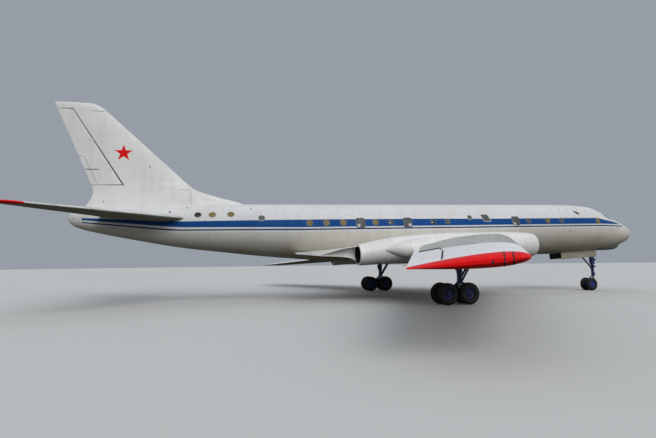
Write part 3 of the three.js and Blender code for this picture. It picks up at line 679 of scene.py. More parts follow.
@dataclass(frozen=True)
class Finish:
    """A painted, rubber, glass or metal surface, worn and uneven as the real one is."""

    title: str
    slot: str
    clean: Colour
    grime: Colour
    amount: float = 0.3
    scale: float = 0.6
    roughness: float = 0.35
    gloss: float = 0.5
    metallic: float = 0.0
    coat: float = 0.0
    bump: float = 0.15
    seams: tuple[float, float, float] = (0.0, 0.0, 0.0)
    seam_width: float = 0.005
    seam_shade: float = 0.55
    seam_colour: Colour = (0.12, 0.115, 0.105, 1.0)
    rivet_step: float = 0.0

    def material(self) -> bpy.types.Material:
        """The finish's material, made the first time it is asked for.

        Returns:
            The material.
        """
        known = bpy.data.materials.get(self.title)
        if known:
            return known
        material = bpy.data.materials.new(self.title)
        material.use_nodes = True
        bench = Bench(material.node_tree)
        shader = material.node_tree.nodes["Principled BSDF"]
        position = self.position(bench)
        clean = self.base(bench, position)
        weather = self.placed(
            bench,
            EFFECTS.weathering,
            Position=position,
            Clean=clean,
            Grime=self.worn(bench, position, clean),
            Amount=self.amount,
            Scale=self.scale,
        )
        lines = self.lines(bench, position)
        colour = weather["Color"]
        height = weather["Height"]
        if lines is not None:
            shade = bench.math("MULTIPLY", lines, self.seam_shade)
            colour = bench.mix(shade, colour, self.seam_colour)
            height = bench.math("SUBTRACT", height, bench.math("MULTIPLY", lines, 3.0))
        bench.feed(shader.inputs["Base Color"], colour)
        bench.feed(shader.inputs["Roughness"], bench.math("ADD", weather["Roughness"], self.roughness))
        shader.inputs["Metallic"].default_value = self.metallic
        shader.inputs["Specular IOR Level"].default_value = self.gloss
        shader.inputs["Coat Weight"].default_value = self.coat
        shader.inputs["Coat Roughness"].default_value = 0.12
        relief = bench.add("ShaderNodeBump", {"Height": height, "Strength": self.bump, "Distance": 0.004})
        bench.feed(shader.inputs["Normal"], relief.outputs[0])
        return material

    @staticmethod
    def placed(bench: Bench, tree: bpy.types.NodeTree, **feeds: object) -> Sockets:
        """Places a shared group with its inputs fed and gives its outputs."""
        return bench.add("ShaderNodeGroup", feeds, node_tree=tree).outputs

    def position(self, bench: Bench) -> bpy.types.NodeSocket:
        """Object coordinates, turned into the airframe's own frame.

        Args:
            bench: The material's bench.

        Returns:
            The position's socket.
        """
        place = AIRFRAME.inverted()
        coordinates = bench.add("ShaderNodeTexCoord").outputs["Object"]
        feeds = {"Vector": coordinates, "Location": place.translation, "Rotation": place.to_euler()}
        return bench.add("ShaderNodeMapping", feeds).outputs[0]

    def base(self, bench: Bench, position: bpy.types.NodeSocket) -> object:
        """The clean colour, which may change over the surface."""
        return self.clean

    def worn(self, bench: Bench, position: bpy.types.NodeSocket, clean: object) -> object:
        """The colour where the surface is dirty."""
        return self.grime

    def lines(self, bench: Bench, position: bpy.types.NodeSocket) -> object:
        """Panel seams and rivet rows along each axis that has a pitch, or None.

        Args:
            bench: The material's bench.
            position: Where on the aircraft, in the airframe's own frame.

        Returns:
            A mask of the lines, or None where there are none.
        """
        marks = []
        parts = bench.parts(position)
        width = self.seam_width
        for coordinate, pitch in zip(parts, self.seams):
            if pitch:
                seam = self.placed(bench, EFFECTS.seam, Coordinate=coordinate, Pitch=pitch, Width=width)
                marks.append(seam[0])
        if self.rivet_step and marks:
            marks.append(self.heads(bench, parts))
        if not marks:
            return None
        total = marks[0]
        for mark in marks[1:]:
            total = bench.math("MAXIMUM", total, mark)
        return total

    def heads(self, bench: Bench, parts: Sequence[bpy.types.NodeSocket]) -> bpy.types.NodeSocket:
        """Rivet heads in rows beside the seams that cross the first axis.

        Args:
            bench: The material's bench.
            parts: The position's X, Y and Z.

        Returns:
            A mask of the heads.
        """
        rows = self.placed(
            bench,
            EFFECTS.rivets,
            Along=parts[1] if self.seams[2] == 0 else parts[2],
            Across=parts[0],
            Step=self.rivet_step,
            Pitch=self.seams[0] / 2,
            Radius=self.rivet_step * 0.16,
        )
        return bench.math("MULTIPLY", rows[0], 0.5)


@dataclass(frozen=True)
class Livery(Finish):
    """The fuselage's paint: white above, warm grey below, a blue band and a thin dark line a side, with
    painted shade darkening the belly.
    """

    blue: Colour = srgb(0, 70, 136)
    navy: Colour = srgb(36, 50, 98)
    lower: Colour = srgb(206, 203, 194)
    # Painted shade, with some dirt: the olive-brown that the grey turns to towards the bottom of the belly
    soiled: Colour = srgb(138, 130, 106)
    dirt_tint: Colour = (0.66, 0.64, 0.6, 1.0)
    # Each is a row of (x, height) pairs
    band_top: tuple[Row, ...] = (
        (-17.77, 0.95), (-13.47, 0.69), (-12.68, 0.66), (-6.0, 0.67), (2.0, 0.66), (6.0, 0.63), (14.8, 0.63),
        (15.6, 0.51), (17.0, 0.39), (17.6, 0.23),
    )
    band_bottom: tuple[Row, ...] = ((-17.77, 0.84), (-13.47, 0.4), (-12.68, 0.34), (-6.0, 0.22))
    line_top: tuple[Row, ...] = ((-17.77, 0.75), (-13.47, 0.27), (-12.68, 0.22), (-6.0, 0.13))
    line_bottom: tuple[Row, ...] = ((-17.77, 0.69), (-13.47, 0.185), (-12.68, 0.15), (-6.0, 0.05))
    white_below: float = 0.09
    band_ends: tuple[float, float] = (-17.77, 17.62)
    line_ends: tuple[float, float] = (-17.77, 17.95)
    soft: float = 0.006
    lap_pitch: float = 0.86

    def base(self, bench: Bench, position: bpy.types.NodeSocket) -> object:
        """White, grey and the stripes, by height and place along the fuselage.

        Args:
            bench: The material's bench.
            position: Where on the aircraft, in the airframe's own frame.

        Returns:
            The colour's socket.
        """
        x, _, z = bench.parts(position)
        top = bench.broken_line(x, self.band_top)
        bottom = bench.broken_line(x, self.band_bottom)
        line_top = bench.broken_line(x, self.line_top)
        line_bottom = bench.broken_line(x, self.line_bottom)
        border = bench.math("SUBTRACT", line_bottom, self.white_below)
        below = bench.math("SUBTRACT", 1.0, self.above(bench, z, border))
        # Painted shade: the grey darkens towards the bottom of the belly, broken up by cloudy dirt
        belly_shade = bench.spread(z, -0.3, -1.7, 0.0, 0.95)
        cloudy = bench.spread(bench.noise(bench.stretched(position, (0.5, 1, 1)), 1.1), 0.3, 0.7, 0.4, 1.0)
        under = bench.mix(bench.math("MULTIPLY", belly_shade, cloudy), self.lower, self.soiled)
        colour = bench.mix(below, self.clean, under)
        for paint, low, high, ends in (
            (self.blue, bottom, top, self.band_ends),
            (self.navy, line_bottom, line_top, self.line_ends),
        ):
            inside = bench.math("MULTIPLY", self.above(bench, z, low), self.above(bench, high, z))
            long = bench.math("MULTIPLY", self.above(bench, x, ends[0]), self.above(bench, ends[1], x))
            colour = bench.mix(bench.math("MULTIPLY", inside, long), colour, paint)
        return colour

    def worn(self, bench: Bench, position: bpy.types.NodeSocket, clean: object) -> object:
        """The paint's own colour, dirtied, so that the stripes stay their colour."""
        return bench.tinted(clean, self.dirt_tint)

    def above(self, bench: Bench, value: object, limit: object) -> bpy.types.NodeSocket:
        """One where a value is above a limit and zero below it, with a soft edge."""
        over = bench.math("SUBTRACT", value, limit)
        return bench.spread(over, -self.soft / 2, self.soft / 2)

    def lines(self, bench: Bench, position: bpy.types.NodeSocket) -> object:
        """Frame seams along the barrel, laps round it and rivets beside the seams.

        Args:
            bench: The material's bench.
            position: Where on the aircraft, in the airframe's own frame.

        Returns:
            A mask of the lines.
        """
        x, y, z = bench.parts(position)
        angle = bench.math("ARCTAN2", y, z)
        girth = bench.math("MULTIPLY", angle, 1.75)
        width = self.seam_width
        frames = self.placed(bench, EFFECTS.seam, Coordinate=x, Pitch=self.seams[0], Width=width)[0]
        laps = self.placed(bench, EFFECTS.seam, Coordinate=girth, Pitch=self.lap_pitch, Width=width)[0]
        rows = self.placed(
            bench,
            EFFECTS.rivets,
            Along=girth,
            Across=x,
            Step=self.rivet_step,
            Pitch=self.seams[0] / 2,
            Radius=self.rivet_step * 0.16,
        )[0]
        seams = bench.math("MULTIPLY", bench.math("MAXIMUM", frames, laps), 0.6)
        return bench.math("MAXIMUM", bench.math("MULTIPLY", rows, 0.4), seams)


SOOT = srgb(38, 38, 40)

LIVERY = Livery(
    "fuselage_paint", "white_paint", srgb(216, 217, 217), srgb(162, 158, 148), amount=0.32, scale=0.5,
    roughness=0.4, gloss=0.12, seams=(1.25, 0, 0), rivet_step=0.055,
)
WHITE_PAINT = Finish(
    "white_skin_paint", "white_paint", srgb(224, 224, 221), srgb(182, 179, 171), amount=0.3, scale=0.6,
    roughness=0.38, gloss=0.3, seams=(1.9, 0, 1.55), seam_width=0.004, seam_shade=0.3, rivet_step=0.055,
)
WING_PAINT = Finish(
    "wing_skin_paint", "wing_paint", srgb(233, 233, 237), srgb(180, 178, 176), amount=0.3, scale=0.9,
    roughness=0.42, gloss=0.3, seams=(1.3, 0.95, 0), rivet_step=0.06,
)
TAIL_PAINT = Finish(
    "tailplane_paint", "wing_paint", srgb(216, 217, 216), srgb(138, 136, 126), amount=0.5, scale=0.9,
    roughness=0.4, coat=0.05, seams=(0.9, 0.8, 0), rivet_step=0.055,
)
# Painted shade: a grey copy of the wing paint that stands in for the shade on the fences
FENCE_SHADE = Finish(
    "fence_paint", "wing_paint", srgb(172, 174, 172), srgb(126, 126, 120), amount=0.4, scale=1.4,
    roughness=0.42, bump=0.1,
)
NACELLE_PAINT = Finish(
    "nacelle_paint", "wing_paint", srgb(230, 230, 227), srgb(176, 172, 160), amount=0.34, scale=0.5,
    roughness=0.34, coat=0.1, seams=(1.45, 0, 0), rivet_step=0.06,
)
CHIN_PAINT = Finish(
    "chin_paint", "grey_paint", srgb(112, 114, 102), srgb(74, 76, 66), amount=0.5, scale=1.6, roughness=0.45
)
RED_PAINT = Finish(
    "red_tip_paint", "red_paint", srgb(232, 4, 12), srgb(150, 6, 10), amount=0.35, scale=1.2, roughness=0.5,
    gloss=0.16, bump=0.1,
)
GEAR_PAINT = Finish(
    "blue_gear_paint", "gear_paint", srgb(14, 50, 108), srgb(18, 22, 34), amount=0.55, scale=4.0,
    roughness=0.4, coat=0.1, bump=0.3,
)
HUB_PAINT = Finish(
    "hub_paint", "wheel_paint", srgb(20, 60, 150), srgb(24, 26, 38), amount=0.5, scale=5.0, roughness=0.42,
    bump=0.3,
)
# Painted shade: a darker copy of the hub paint for the main wheels, which stand in the wing's shadow
MAIN_HUB_SHADE = Finish(
    "main_hub_paint", "wheel_paint", srgb(18, 38, 96), srgb(20, 22, 30), amount=0.55, scale=5.0,
    roughness=0.45, bump=0.3,
)
# Painted shade: a darker, olive copy of the wing paint for the faces below the chord plane of the wings,
# tailplanes and their hinged parts
UNDERSIDE_SHADE = Finish(
    "underside_paint", "wing_paint", srgb(146, 147, 130), srgb(96, 96, 80), amount=0.6, scale=0.8,
    roughness=0.5, seams=(1.3, 0.95, 0), rivet_step=0.06,
)
CHROME = Finish(
    "polished_steel", "gear_paint", srgb(196, 198, 202), srgb(110, 108, 104), amount=0.4, scale=6.0,
    roughness=0.14, metallic=1.0, bump=0.05,
)
DARK_METAL = Finish(
    "heat_stained_metal", "engine_metal", srgb(74, 72, 72), SOOT, amount=0.7, scale=3.0, roughness=0.38,
    metallic=0.85, bump=0.4,
)
BARE_METAL = Finish(
    "bare_metal", "engine_metal", srgb(168, 170, 174), srgb(104, 102, 98), amount=0.5, scale=3.0,
    roughness=0.3, metallic=0.9, bump=0.2,
)
RUBBER = Finish(
    "tyre_rubber", "tyre", srgb(20, 20, 22), srgb(62, 59, 54), amount=0.4, scale=5.0, roughness=0.7, bump=0.8
)
# Painted shade: dark grey inside the nose wheel bay and the door pockets, and on the nose doors' inner sides
BAY_SHADE = Finish(
    "bay_paint", "grey_paint", srgb(62, 66, 64), srgb(30, 32, 30), amount=0.6, scale=2.0, roughness=0.6,
    bump=0.3,
)
DARK_GLASS = Finish(
    "dark_glass", "glazing", srgb(14, 17, 20), srgb(40, 43, 45), amount=0.3, scale=3.0, roughness=0.14,
    gloss=0.35, bump=0.02,
)
GREY_PANE = Finish(
    "grey_pane", "glazing", srgb(88, 90, 90), srgb(36, 37, 38), amount=0.8, scale=3.0, roughness=0.36,
    gloss=0.3, bump=0.1,
)
TAN_PANE = Finish(
    "tan_pane", "glazing", srgb(128, 112, 64), srgb(78, 70, 46), amount=0.7, scale=3.0, roughness=0.4,
    gloss=0.3, bump=0.1,
)
# Pale round patches on the square windows, and painted highlights on two dark windows
PALE_PATCH_AND_HIGHLIGHT = Finish(
    "pale_patch", "glazing", srgb(188, 190, 186), srgb(140, 138, 130), amount=0.4, scale=9.0, roughness=0.45,
    bump=0.1,
)
RIM_METAL = Finish(
    "window_rim", "white_paint", srgb(126, 126, 120), srgb(84, 82, 76), amount=0.45, scale=8.0,
    roughness=0.42, metallic=0.2, bump=0.2,
)
PALE_RIM = Finish(
    "pale_window_rim", "white_paint", srgb(196, 197, 194), srgb(122, 120, 112), amount=0.4, scale=8.0,
    roughness=0.4, bump=0.2,
)
# Painted shade in the hinge hollows, on the hinged parts' noses and along the fences' rear footings; the same
# dark also draws the fin's seams, the trim tab's seams and small dots
DARK_SEAM_AND_GAP_SHADE = Finish(
    "dark_gap", "grey_paint", srgb(44, 44, 44), srgb(24, 24, 24), amount=0.4, scale=3.0, roughness=0.7,
    bump=0.2,
)
BLACK_SEAL = Finish(
    "rubber_seal", "tyre", srgb(24, 24, 26), srgb(58, 56, 52), amount=0.4, scale=9.0, roughness=0.6, bump=0.3
)
CLEAR_LAMP = Finish(
    "lamp_glass", "glazing", srgb(210, 214, 216), srgb(150, 150, 146), amount=0.2, scale=8.0, roughness=0.08,
    coat=1.0, bump=0.02,
)


def deliver(
    form: Form,
    name: str,
    *finishes: Finish,
    body: str = "root",
    place: Matrix = AIRFRAME,
    stands_for: Sequence[str] = (),
    crease: float = 32.0,
) -> bpy.types.Object:
    """Makes a finished piece of a form and sets it riding on its body.

    Args:
        form: The shape, in the airframe's own frame or on the ground.
        name: The piece's name.
        *finishes: Its finishes, the main one first.
        body: The CAD body that it rides on.
        place: Where the form's frame stands.
        stands_for: The CAD nodes that it replaces.
        crease: Edges that turn by more degrees than this stay sharp.

    Returns:
        The piece.
    """
    piece = bpy.data.objects.new(name, form.closed().moved(place).mesh(name, crease))
    bpy.context.scene.collection.objects.link(piece)
    for finish in finishes:
        piece.data.materials.append(finish.material())
    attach(piece, body)
    if stands_for:
        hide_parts(*stands_for)
    LOG.info("%s rides on %s with %d faces", name, body, len(piece.data.polygons))
    return piece


def oval(width: float, height: float, power: float = 2.0, count: int = 40) -> list[tuple[float, float]]:
    """A closed outline between an ellipse and a rectangle.

    Args:
        width: Full width.
        height: Full height.
        power: 2 for an ellipse, more for squarer corners.
        count: How many points.

    Returns:
        Points as (along, up) from the middle.
    """
    points = []
    for number in range(count):
        angle = FULL_TURN * number / count
        along, up = math.cos(angle), math.sin(angle)
        points.append(
            (
                math.copysign(abs(along) ** (2 / power), along) * width / 2,
                math.copysign(abs(up) ** (2 / power), up) * height / 2,
            )
        )
    return points


class PaneTone(Enum):
    """What fills a cabin window."""

    TAN = "tan"
    GREY = "grey"
    DARK = "dark"


@dataclass(frozen=True)
class CabinWindow:
    """One window: its middle on the side of the barrel, its size, and how square and slanted it is."""

    x: float
    z: float
    width: float
    height: float
    tone: PaneTone
    power: float = 2.0
    lean: float = 0.0
    tilt: float = 0.0

    def outline(self) -> list[tuple[float, float]]:
        """Its outline, leaned and tilted, from its middle.

        Returns:
            Points as (along, up).
        """
        turn = math.radians(self.tilt)
        points = []
        for along, up in oval(self.width, self.height, self.power):
            leaned = along + up * self.lean
            points.append(
                (
                    leaned * math.cos(turn) - up * math.sin(turn),
                    leaned * math.sin(turn) + up * math.cos(turn),
                )
            )
        return points


@dataclass
class Fuselage:
    """The pressure cabin and its nose and tail, with everything let into the skin."""

    sides: int = 96
    # Columns: x, top, bottom, half width
    sections: tuple[Row, ...] = (
        (19.26, -0.4, -0.54, 0.07), (19.215, -0.26, -0.64, 0.19), (19.08, -0.145, -0.73, 0.295),
        (18.74, 0.12, -0.96, 0.54), (18.35, 0.325, -1.12, 0.725), (17.97, 0.485, -1.25, 0.87),
        (17.43, 0.685, -1.39, 1.05), (16.84, 0.91, -1.48, 1.2), (16.32, 1.165, -1.55, 1.355),
        (15.71, 1.42, -1.62, 1.52), (15.08, 1.61, -1.67, 1.65), (14.17, 1.68, -1.72, 1.72),
        (13.18, 1.74, -1.75, 1.748), (11.5, 1.75, -1.75, 1.75), (-4.0, 1.75, -1.75, 1.75),
        (-6.1, 1.75, -1.56, 1.69), (-8.3, 1.75, -1.33, 1.57), (-9.93, 1.75, -1.12, 1.45),
        (-12.7, 1.74, -0.74, 1.2), (-15.2, 1.73, -0.25, 0.93), (-17.28, 1.7, 0.22, 0.62),
        (-17.9, 1.62, 0.4, 0.48), (-18.3, 1.45, 0.58, 0.34), (-18.5, 1.25, 0.76, 0.19),
        (-18.56, 1.09, 0.9, 0.09),
    )
    steps: int = 7
    # Columns: share of the end section, how far behind its own place
    nose_cap: tuple[Row, ...] = ((0.02, 0.0), (0.45, 0.001), (0.8, 0.004))
    tail_cap: tuple[Row, ...] = ((0.8, 0.012), (0.5, 0.018), (0.02, 0.022))
    door_height: float = 1.66
    door_width: float = 0.8
    door_middle: float = 0.06
    door_thick: float = 0.055
    door_gap: float = 0.03
    door_pocket: float = 0.095
    bay_low: Row = (12.45, -0.56, -2.2)
    bay_high: Row = (15.95, 0.56, -0.9)
    # Windows above this height lie in the white paint
    white_from: float = 0.64
    # Columns: x, z, radius. The first three are pale round patches on the square windows; the last two are
    # painted highlights on dark windows.
    pale_patches: tuple[Row, ...] = (
        (-2.68, 0.28, 0.1), (0.59, 0.28, 0.1), (8.0, 0.28, 0.1), (-0.69, 0.43, 0.045), (2.1, 0.43, 0.045),
    )
    pad: Row = (10.2, 0.0, -1.7)
    # Columns: x, z, radius of the dark vents and drains on each side
    drains: tuple[Row, ...] = (
        (17.0, -0.02, 0.045), (16.09, -0.14, 0.04), (-18.19, 0.95, 0.03), (4.6, -0.32, 0.05),
        (12.3, -0.28, 0.035),
        (11.3, 1.28, 0.03), (12.05, 1.28, 0.03), (12.75, 1.28, 0.03), (13.5, 1.25, 0.03), (14.2, 1.2, 0.03),
        (-8.9, 1.36, 0.04), (-12.4, 1.46, 0.04), (-13.3, 1.2, 0.05),
    )
    doors_at: tuple[tuple[str, float], ...] = (("door_front", 12.9), ("door_rear", -8.7))

    def __post_init__(self) -> None:
        """Makes the smooth rows of the section table."""
        self.rows = rows_of(self.sections)

    def section(self, x: float) -> tuple[float, float, float]:
        """Middle height, half height and half width at a place along the barrel."""
        top, bottom, half = (row.at(x) for row in self.rows)
        return (top + bottom) / 2, (top - bottom) / 2, half

    def around(self, x: float, angle: float, out: float = 0.0) -> Vector:
        """A point on the skin by its angle from the crown, positive to port."""
        middle, rise, half = self.section(x)
        return Vector((x, (half + out) * math.sin(angle), middle + (rise + out) * math.cos(angle)))

    def on_side(self, x: float, z: float, side: Side, out: float = 0.0) -> Vector:
        """A point on one side of the skin by its height, moved out along the skin's normal.

        Args:
            x: Its place along the barrel.
            z: Its height.
            side: The side of the aircraft.
            out: How far out of the skin it is.

        Returns:
            The point.
        """
        middle, rise, half = self.section(x)
        across = math.sqrt(max(1 - ((z - middle) / rise) ** 2, 0.0))
        point = Vector((x, side.value * half * across, z))
        if not out:
            return point
        step = 0.01
        along = self.on_side(x + step, z, side) - self.on_side(x - step, z, side)
        up = self.on_side(x, z + step, side) - self.on_side(x, z - step, side)
        normal = along.cross(up).normalized()
        outward = normal if normal.y * side.value > 0 else -normal
        return point + outward * out

    def stations(self) -> list[float]:
        """Places along the barrel, closer together where it curves.

        Returns:
            The places, from the nose back.
        """
        places = []
        for (front, *_), (rear, *_) in zip(self.sections, self.sections[1:]):
            places += [between(front, rear, step / self.steps) for step in range(self.steps)]
        return places + [self.sections[-1][0]]

    def build(self) -> None:
        """Builds the skin with its door pockets and wheel bay, then all that sits in it."""
        angles = [FULL_TURN * number / self.sides for number in range(self.sides)]
        nose, tail = self.sections[0][0], self.sections[-1][0]
        rings = [self.cap(nose, nose - back, scale, angles) for scale, back in self.nose_cap]
        for x in self.stations():
            rings.append([self.around(min(x, nose - 0.004), angle) for angle in angles])
        rings += [self.cap(tail, tail - back, scale, angles) for scale, back in self.tail_cap]
        skin = Form().loft(rings)
        shell = skin.carved([*(self.pocket(hinge) for _, hinge in self.doors_at), self.bay()])
        # Painted shade: faces inside the skin line, in the door pockets and the wheel bay, take the bay shade
        shell.painted(1, self.hidden)
        deliver(
            shell, "fuselage_skin", LIVERY, BAY_SHADE,
            stands_for=("fuselage_nose", "fuselage_centre", "fuselage_rear"), crease=28.0,
        )
        self.windows()
        self.windscreen()
        self.doors()
        self.fittings()

    def cap(self, end: float, x: float, scale: float, angles: Row) -> Ring:
        """A ring that closes one end: the end's own section, drawn in by a scale."""
        middle, rise, half = self.section(end)
        return [Vector((x, half * scale * math.sin(a), middle + rise * scale * math.cos(a))) for a in angles]

    def hidden(self, point: Vector) -> bool:
        """Whether a face lies inside the skin line, in a pocket or the wheel bay.

        Args:
            point: The face's middle.

        Returns:
            True where it does.
        """
        middle, rise, half = self.section(point.x)
        reach = math.hypot(point.y / half, (point.z - middle) / rise)
        return reach < 0.985 and -18.0 < point.x < 18.9

    def plate(
        self, x: float, z: float, side: Side, outline: Sequence[Row], stack: Sequence[Row],
        form: Form | None = None,
    ) -> Form:
        """A plate that follows the skin.

        Args:
            x: The middle along the barrel.
            z: The middle's height.
            side: The side that it lies on.
            outline: Points from its middle.
            stack: (scale, out) for each ring, from the back's middle round to the front's middle.
            form: A form to add it to.

        Returns:
            The plate's form.
        """
        rings = [
            [self.on_side(x + along * scale, z + up * scale, side, out) for along, up in outline]
            for scale, out in stack
        ]
        return (form or Form()).loft(rings)

    def door_outline(self, grow: float = 0.0) -> list[tuple[float, float]]:
        """A passenger door's outline with rounded corners."""
        return oval(self.door_width + 2 * grow, self.door_height + 2 * grow, 9.0, 72)

    def pocket(self, hinge: float) -> Form:
        """What is cut out of the skin behind a passenger door.

        Args:
            hinge: Where the door's hinge line is.

        Returns:
            The cutter's form.
        """
        x = hinge - self.door_gap - self.door_width / 2
        deep = [(scale, -self.door_pocket) for scale in (0.02, 0.3, 0.6, 0.85, 1.0)]
        proud = [(scale, 0.12) for scale in (1.0, 0.85, 0.6, 0.3, 0.02)]
        return self.plate(x, self.door_middle, Side.LEFT, self.door_outline(self.door_gap), deep + proud)

    def bay(self) -> Form:
        """What is cut out of the nose for its wheels."""
        return Form().block(self.bay_low, self.bay_high, 0.04)

    def windows(self) -> None:
        """Cabin windows on both sides, each a rim with a pane in it."""
        tan, grey, dark = PaneTone.TAN, PaneTone.GREY, PaneTone.DARK
        both = [
            CabinWindow(-11.81, 1.02, 0.37, 0.3, dark),
            CabinWindow(-11.04, 1.02, 0.38, 0.3, tan),
            CabinWindow(-10.04, 1.03, 0.38, 0.3, tan),
            CabinWindow(-5.63, 0.47, 0.36, 0.36, tan),
            CabinWindow(-4.64, 0.47, 0.36, 0.36, tan),
            CabinWindow(-3.63, 0.47, 0.36, 0.36, tan),
            CabinWindow(-2.56, 0.44, 0.54, 0.58, grey, 6.0),
            CabinWindow(-1.62, 0.47, 0.36, 0.36, tan),
            CabinWindow(-0.63, 0.47, 0.33, 0.33, dark),
            CabinWindow(0.46, 0.44, 0.54, 0.58, grey, 6.0),
            CabinWindow(2.16, 0.47, 0.34, 0.34, dark),
            CabinWindow(3.16, 0.47, 0.34, 0.34, grey),
            CabinWindow(4.79, 0.73, 0.3, 0.28, grey),
            CabinWindow(5.94, 0.68, 0.5, 0.46, grey, 6.0, lean=-0.32),
            CabinWindow(8.12, 0.47, 0.54, 0.58, grey, 6.0),
            CabinWindow(9.1, 0.47, 0.34, 0.34, grey),
            CabinWindow(10.6, 0.47, 0.34, 0.34, tan),
            CabinWindow(11.7, 0.47, 0.34, 0.34, grey),
            CabinWindow(14.8, 0.4, 0.36, 0.34, tan, 4.0),
        ]
        starboard = [
            CabinWindow(-8.35, 0.79, 0.36, 0.3, grey),
            CabinWindow(13.25, 1.02, 0.4, 0.17, dark, tilt=-33),
        ]
        finishes = {tan: TAN_PANE, grey: GREY_PANE, dark: DARK_GLASS}
        for side in Side:
            chosen = both + (starboard if side is Side.RIGHT else [])
            rims, pale, discs_and_highlights = Form(), Form(), Form()
            panes = {tone: Form() for tone in PaneTone}
            for window in chosen:
                in_white = window.z > self.white_from
                self.window_rim(pale if in_white else rims, window, side, 0.03 if in_white else 0.018)
                self.window_pane(panes[window.tone], window, side)
            # Pale round patches, and painted highlights on the dark windows
            for x, z, radius in self.pale_patches:
                self.button(discs_and_highlights, x, z, side, radius, 0.0065)
            deliver(rims, f"window_rims_{side.tag}", RIM_METAL)
            deliver(pale, f"window_rims_pale_{side.tag}", PALE_RIM)
            deliver(discs_and_highlights, f"window_patches_{side.tag}", PALE_PATCH_AND_HIGHLIGHT)
            for tone, form in panes.items():
                deliver(form, f"window_panes_{tone.value}_{side.tag}", finishes[tone])

    def window_layer(self, form: Form, window: CabinWindow, side: Side, stack: Sequence[Row]) -> None:
        """Adds a closed layer round a window's middle.

        Args:
            form: The form to add it to.
            window: The window.
            side: The side of the fuselage.
            stack: (offset from the window's edge, scale, height above the skin) for each ring.
        """
        size = (window.width + window.height) / 4
        grown = [((1 + edge / size) * scale, out) for edge, scale, out in stack]
        self.plate(window.x, window.z, side, window.outline(), grown, form)

    def window_rim(self, form: Form, window: CabinWindow, side: Side, width: float) -> None:
        """A low rounded rim of some width, with a shallow floor.

        Args:
            form: The form to add it to.
            window: The window.
            side: The side of the aircraft.
            width: How wide the rim is.
        """
        stack = (
            (width, 1, -0.02), (width, 1, 0.001), (width * 0.85, 1, 0.005), (width * 0.55, 1, 0.007),
            (width * 0.25, 1, 0.006), (0.002, 1, 0.002), (0, 0.7, 0.001), (0, 0.35, 0.001), (0, 0.03, 0.001),
        )
        self.window_layer(form, window, side, stack)

    def window_pane(self, form: Form, window: CabinWindow, side: Side) -> None:
        """A pane that lies on the rim's floor.

        Args:
            form: The form to add it to.
            window: The window.
            side: The side of the aircraft.
        """
        stack = (
            (-0.002, 1, -0.012), (-0.002, 1, 0.002), (-0.008, 1, 0.004), (0, 0.7, 0.0045), (0, 0.35, 0.005),
            (0, 0.03, 0.005),
        )
        self.window_layer(form, window, side, stack)

    def windscreen(self) -> None:
        """The flight deck's panes across the nose, with posts between them."""
        half_band = math.radians(52.5)
        front, rear = 16.86, 15.97
        surround = self.crown_plate((rear, front), (-half_band, half_band), 0.004, 5.0, 40)
        deliver(surround, "windscreen_surround", WHITE_PAINT)
        glass = Form()
        for low, high in ((-51.0, -25.0), (-23.4, -0.8), (0.8, 23.4), (25.0, 51.0)):
            angles = (math.radians(low), math.radians(high))
            self.crown_plate((rear + 0.05, front - 0.05), angles, 0.009, 7.0, 36, glass)
        deliver(glass, "windscreen_panes", DARK_GLASS, stands_for=("cockpit_glazing",))

    def crown_plate(
        self, ends: Row, angles: Row, out: float, power: float, count: int, form: Form | None = None
    ) -> Form:
        """A plate laid over the crown between two places and two angles.

        Args:
            ends: Its rear and front along the barrel.
            angles: Its two edges as angles from the crown.
            out: How far it stands above the skin.
            power: How square its corners are.
            count: How many points go round it.
            form: A form to add it to.

        Returns:
            The form.
        """
        outline = oval(ends[1] - ends[0], angles[1] - angles[0], power, count)
        x0, a0 = (ends[0] + ends[1]) / 2, (angles[0] + angles[1]) / 2
        top = [(scale, out) for scale in (0.985, 0.75, 0.5, 0.25, 0.02)]
        stack = [(1, -0.02), (1, out - 0.003), *top]
        rings = [
            [self.around(x0 + along * scale, a0 + turn * scale, rise) for along, turn in outline]
            for scale, rise in stack
        ]
        return (form or Form()).loft(rings)

    def doors(self) -> None:
        """Both passenger doors on the port side, with their hinges and handles."""
        thick = self.door_thick
        back = [(scale, -thick) for scale in (0.02, 0.3, 0.6, 0.85, 0.98)] + [(1.0, -thick + 0.006)]
        front = [(1.0, -0.004), (0.99, 0.0)] + [(scale, 0.0) for scale in (0.85, 0.6, 0.3, 0.02)]
        for name, hinge in self.doors_at:
            x = hinge - self.door_gap - self.door_width / 2
            half = self.section(hinge)[2]
            panel = self.plate(x, self.door_middle, Side.LEFT, self.door_outline(), back + front)
            deliver(panel, f"{name}_panel", LIVERY, body=name, stands_for=(name,))
            fixed, moving = Form(), Form()
            pin_y = half + 0.042
            for step in (-0.52, 0.52):
                base = self.door_middle + step
                low, high = base - 0.075, base + 0.005
                moving.rod((hinge, pin_y, base - 0.08), (hinge, pin_y, base - 0.002), 0.028)
                moving.slab(
                    [(hinge - 0.002, pin_y + 0.016, low), (hinge - 0.13, pin_y + 0.004, low),
                     (hinge - 0.15, half - 0.02, low), (hinge - 0.06, half - 0.03, low),
                     (hinge - 0.002, pin_y - 0.02, low)],
                    (0, 0, 0.07), 0.004,
                )
                fixed.rod((hinge, pin_y, base + 0.002), (hinge, pin_y, base + 0.08), 0.028)
                fixed.slab(
                    [(hinge, pin_y + 0.016, high), (hinge + 0.1, pin_y, high),
                     (hinge + 0.13, half - 0.04, high), (hinge + 0.02, half - 0.04, high),
                     (hinge, pin_y - 0.02, high)],
                    (0, 0, 0.07), 0.004,
                )
            grip = self.on_side(x - 0.27, self.door_middle + 0.02, Side.LEFT, 0.0)
            moving.turned(
                [(-0.01, 0), (-0.01, 0.05), (0.004, 0.05), (0.007, 0.044), (0.007, 0.0)], grip,
                (0, 1, 0.02), 28,
            )
